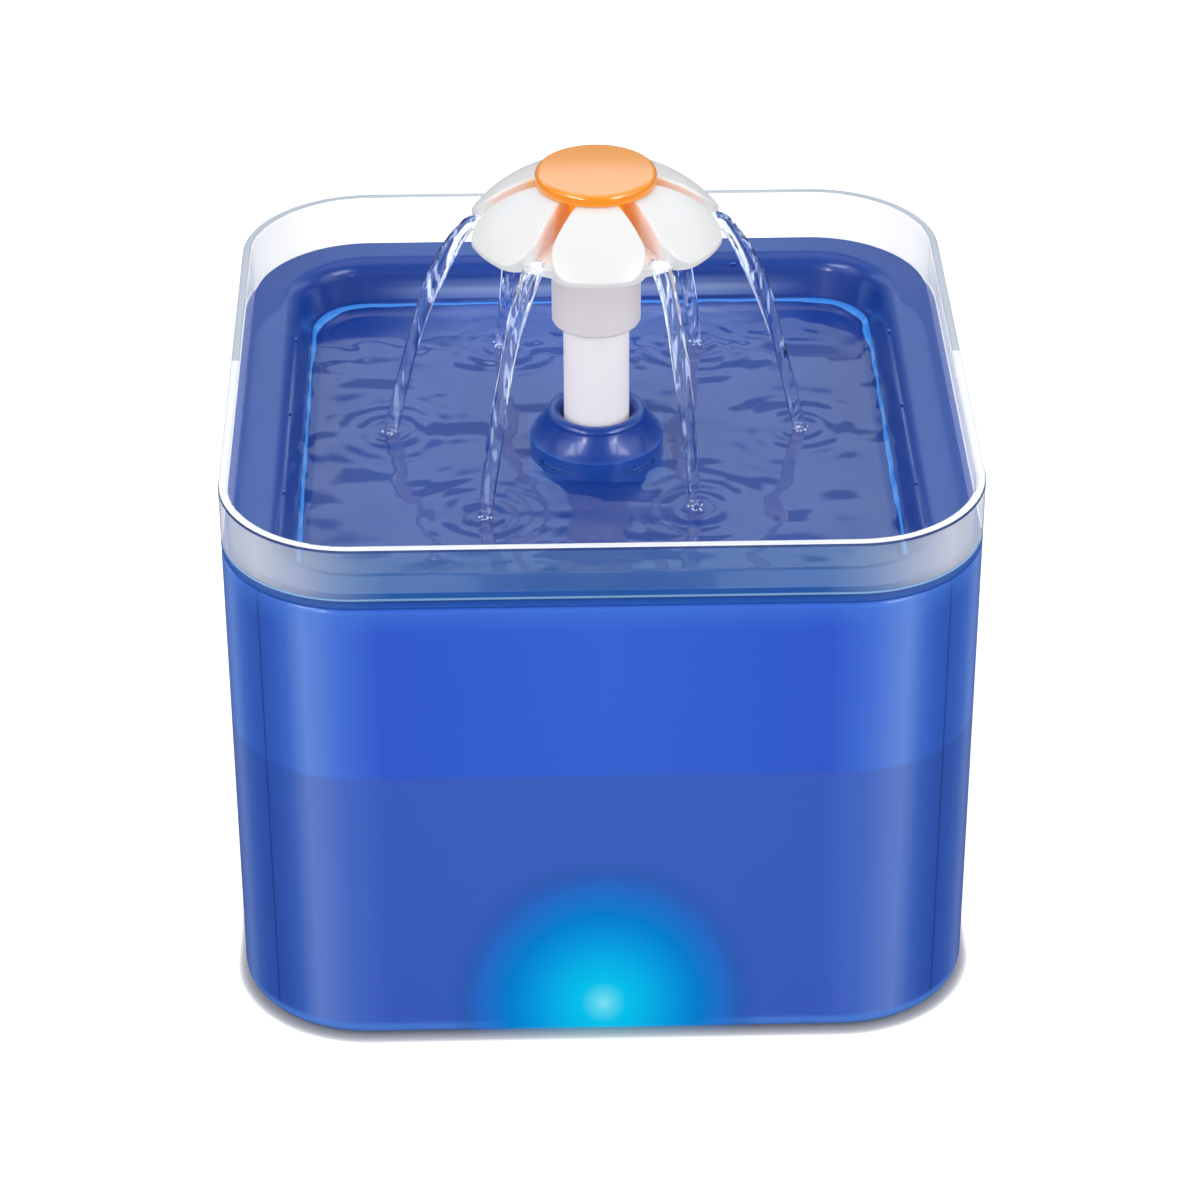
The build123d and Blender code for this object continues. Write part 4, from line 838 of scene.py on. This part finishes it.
# ------------------------------------------------------------------ six streams
def stream(number, start, landing):
    """One stream: three joined strands at the channel that draw in to a clear cord."""
    steps, around = 72, 28
    start, landing = STREAM_TUCK * Vector(start), Vector(landing)
    outward = (landing - start).normalized()
    fall = STREAM_START_HEIGHT - TRAY_WATER
    shape = bmesh.new()
    loops = []
    for step in range(steps + 1):
        part = step / steps
        flat = start.lerp(landing, part)
        height = STREAM_START_HEIGHT + 0.6 - (fall + 1.2) * (0.2 * part + 0.8 * part * part)
        turn = math.atan2(outward.y, outward.x) + math.pi / 2
        turn += 0.5 * part * math.sin(2.3 * number) + 0.25 * math.sin(7 * part + number)
        width = 1.7 + 0.9 * (1 - part) ** 1.6 + 0.2 * math.sin(15 * part + 1.7 * number)
        thick = 1.6 + 0.5 * (1 - part) ** 1.6 + 0.2 * math.sin(11 * part + 2.3 * number)
        strands = 0.4 * (1 - part) ** 1.2 + 0.08
        sway = 0.3 * math.sin(8 * part + 1.3 * number) * part
        close = min(1.0, 14 * part, 60 * (1 - part)) ** 0.5
        loop = []
        for corner in range(around):
            angle = 2 * math.pi * corner / around
            side, front = math.cos(angle), math.sin(angle)
            lobes = 1 + strands * math.cos(3 * math.pi * side + 0.8 * math.sin(5 * part + number))
            along = width * side * (0.1 + 0.9 * close) + sway
            off = thick * front * lobes * (0.1 + 0.9 * close)
            loop.append(shape.verts.new(Vector((
                flat.x + along * math.cos(turn) - off * math.sin(turn),
                flat.y + along * math.sin(turn) + off * math.cos(turn),
                height)) * MM))
        loops.append(loop)
    for upper, lower in zip(loops, loops[1:]):
        join_loops(shape, upper, lower)
    shape.faces.new(loops[0])
    shape.faces.new(list(reversed(loops[-1])))
    bmesh.ops.recalc_face_normals(shape, faces=shape.faces)
    piece = make_piece(f"stream_{number}", shape, STREAM_LOOK)
    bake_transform(piece)


for number, (start, landing) in enumerate(zip(STREAM_STARTS, STREAM_LANDINGS), 1):
    stream(number, start, landing)


# ------------------------------------------------------------------ studio
def studio():
    """A white floor with a painted contact shadow, a pale sky that darkens overhead, and soft
    lamps.
    """
    material, tree, shader = new_material("floor_white")
    shape = bmesh.new()
    bmesh.ops.create_grid(shape, x_segments=1, y_segments=1, size=12)
    floor = make_piece("floor", shape, material, smooth=False)
    path = add_node(tree, "ShaderNodeLightPath")
    tree.links.new(mix_colour(tree, path.outputs["Is Glossy Ray"], (0.5, 0.49, 0.47),
                              (0.14, 0.18, 0.27)), shader.inputs["Base Color"])
    set_inputs(shader, {"Roughness": 0.9, "Specular IOR Level": 0.1})
    # painted contact shadow: the floor's glow seen by the camera fades where the
    # ambient-occlusion node finds the fountain close
    painted_contact_shadow = add_node(tree, "ShaderNodeAmbientOcclusion", samples=8)
    set_inputs(painted_contact_shadow, {"Distance": 3.5 * MM})
    open_floor = times(tree, math_node(tree, "POWER", painted_contact_shadow.outputs["AO"], 6.0), 0.9)
    light_up(tree, shader, (1, 1, 1), times(tree, seen_directly(tree, path), open_floor))

    world = bpy.data.worlds.new("studio")
    bpy.context.scene.world = world
    world.use_nodes = True
    tree = world.node_tree
    background = tree.nodes["Background"]
    where = add_node(tree, "ShaderNodeTexCoord")
    separate = add_node(tree, "ShaderNodeSeparateXYZ")
    tree.links.new(where.outputs["Generated"], separate.inputs[0])
    sideways, depthways, upwards = separate.outputs
    sky = ramp(tree, upwards, [
        (0.0, (0.85, 0.85, 0.86)), (0.5, (0.75, 0.76, 0.78)), (1.0, (0.6, 0.61, 0.63))])
    panel = ramp(tree, upwards, [
        (0.0, (0.08, 0.1, 0.13)), (0.4, (0.2, 0.28, 0.36)), (0.47, (1.35, 1.72, 2.05)),
        (0.58, (1.5, 1.9, 2.25)), (0.66, (0.35, 0.5, 0.66)), (1.0, (0.45, 0.52, 0.58))])
    behind = ramp(tree, depthways, [(0.1, (0, 0, 0)), (0.5, (1, 1, 1))])
    aside = math_node(tree, "ABSOLUTE", sideways)
    limits = (("GREATER_THAN", aside, 0.4), ("LESS_THAN", aside, 0.68),
              ("GREATER_THAN", upwards, 0.35), ("LESS_THAN", upwards, 0.75),
              ("LESS_THAN", depthways, -0.2))
    soft_boxes = times(tree, *(math_node(tree, *limit) for limit in limits))
    front = mix_colour(tree, soft_boxes, (0.25, 0.26, 0.29), (9.0, 9.0, 9.0))
    mirrored = mix_colour(tree, behind, front, panel)
    path = add_node(tree, "ShaderNodeLightPath")
    lit = mix_colour(tree, path.outputs["Is Glossy Ray"], sky, mirrored)
    tree.links.new(mix_colour(tree, seen_directly(tree, path), lit, (1.0, 1.0, 1.0)),
                   background.inputs["Color"])

    for name, at, size, power in (
            ("lamp_left", (-1.1, -0.5, 1.0), 0.9, 3.5),
            ("lamp_right", (1.2, -0.4, 0.9), 0.9, 3.0),
            ("lamp_front_left", (-0.8, -1.6, 0.8), 0.22, 4.0),
            ("lamp_front_right", (1.1, -1.4, 0.8), 0.22, 4.0),
            ("lamp_top", (0.0, 0.35, 1.5), 1.1, 3.0)):
        data = bpy.data.lights.new(name, "AREA")
        data.size = size
        data.energy = power
        lamp = bpy.data.objects.new(name, data)
        lamp.location = at
        towards = Vector((0, 0, 0.1)) - Vector(at)
        lamp.rotation_euler = towards.to_track_quat("-Z", "Y").to_euler()
        bpy.context.scene.collection.objects.link(lamp)

    data = bpy.data.cameras.new("camera")
    data.sensor_width = 36
    data.lens = 121.4
    camera = bpy.data.objects.new("camera", data)
    camera.matrix_world = (
        Matrix.Translation((-0.020152, -0.874097, 0.624704))
        @ Matrix.Rotation(math.radians(-1.3695), 4, "Z")
        @ Matrix.Rotation(math.radians(90 - 32.4164), 4, "X")
        @ Matrix.Rotation(math.radians(-0.1439), 4, "Z"))
    bpy.context.scene.collection.objects.link(camera)
    bpy.context.scene.camera = camera
    bpy.context.scene.view_settings.view_transform = "Standard"


studio()
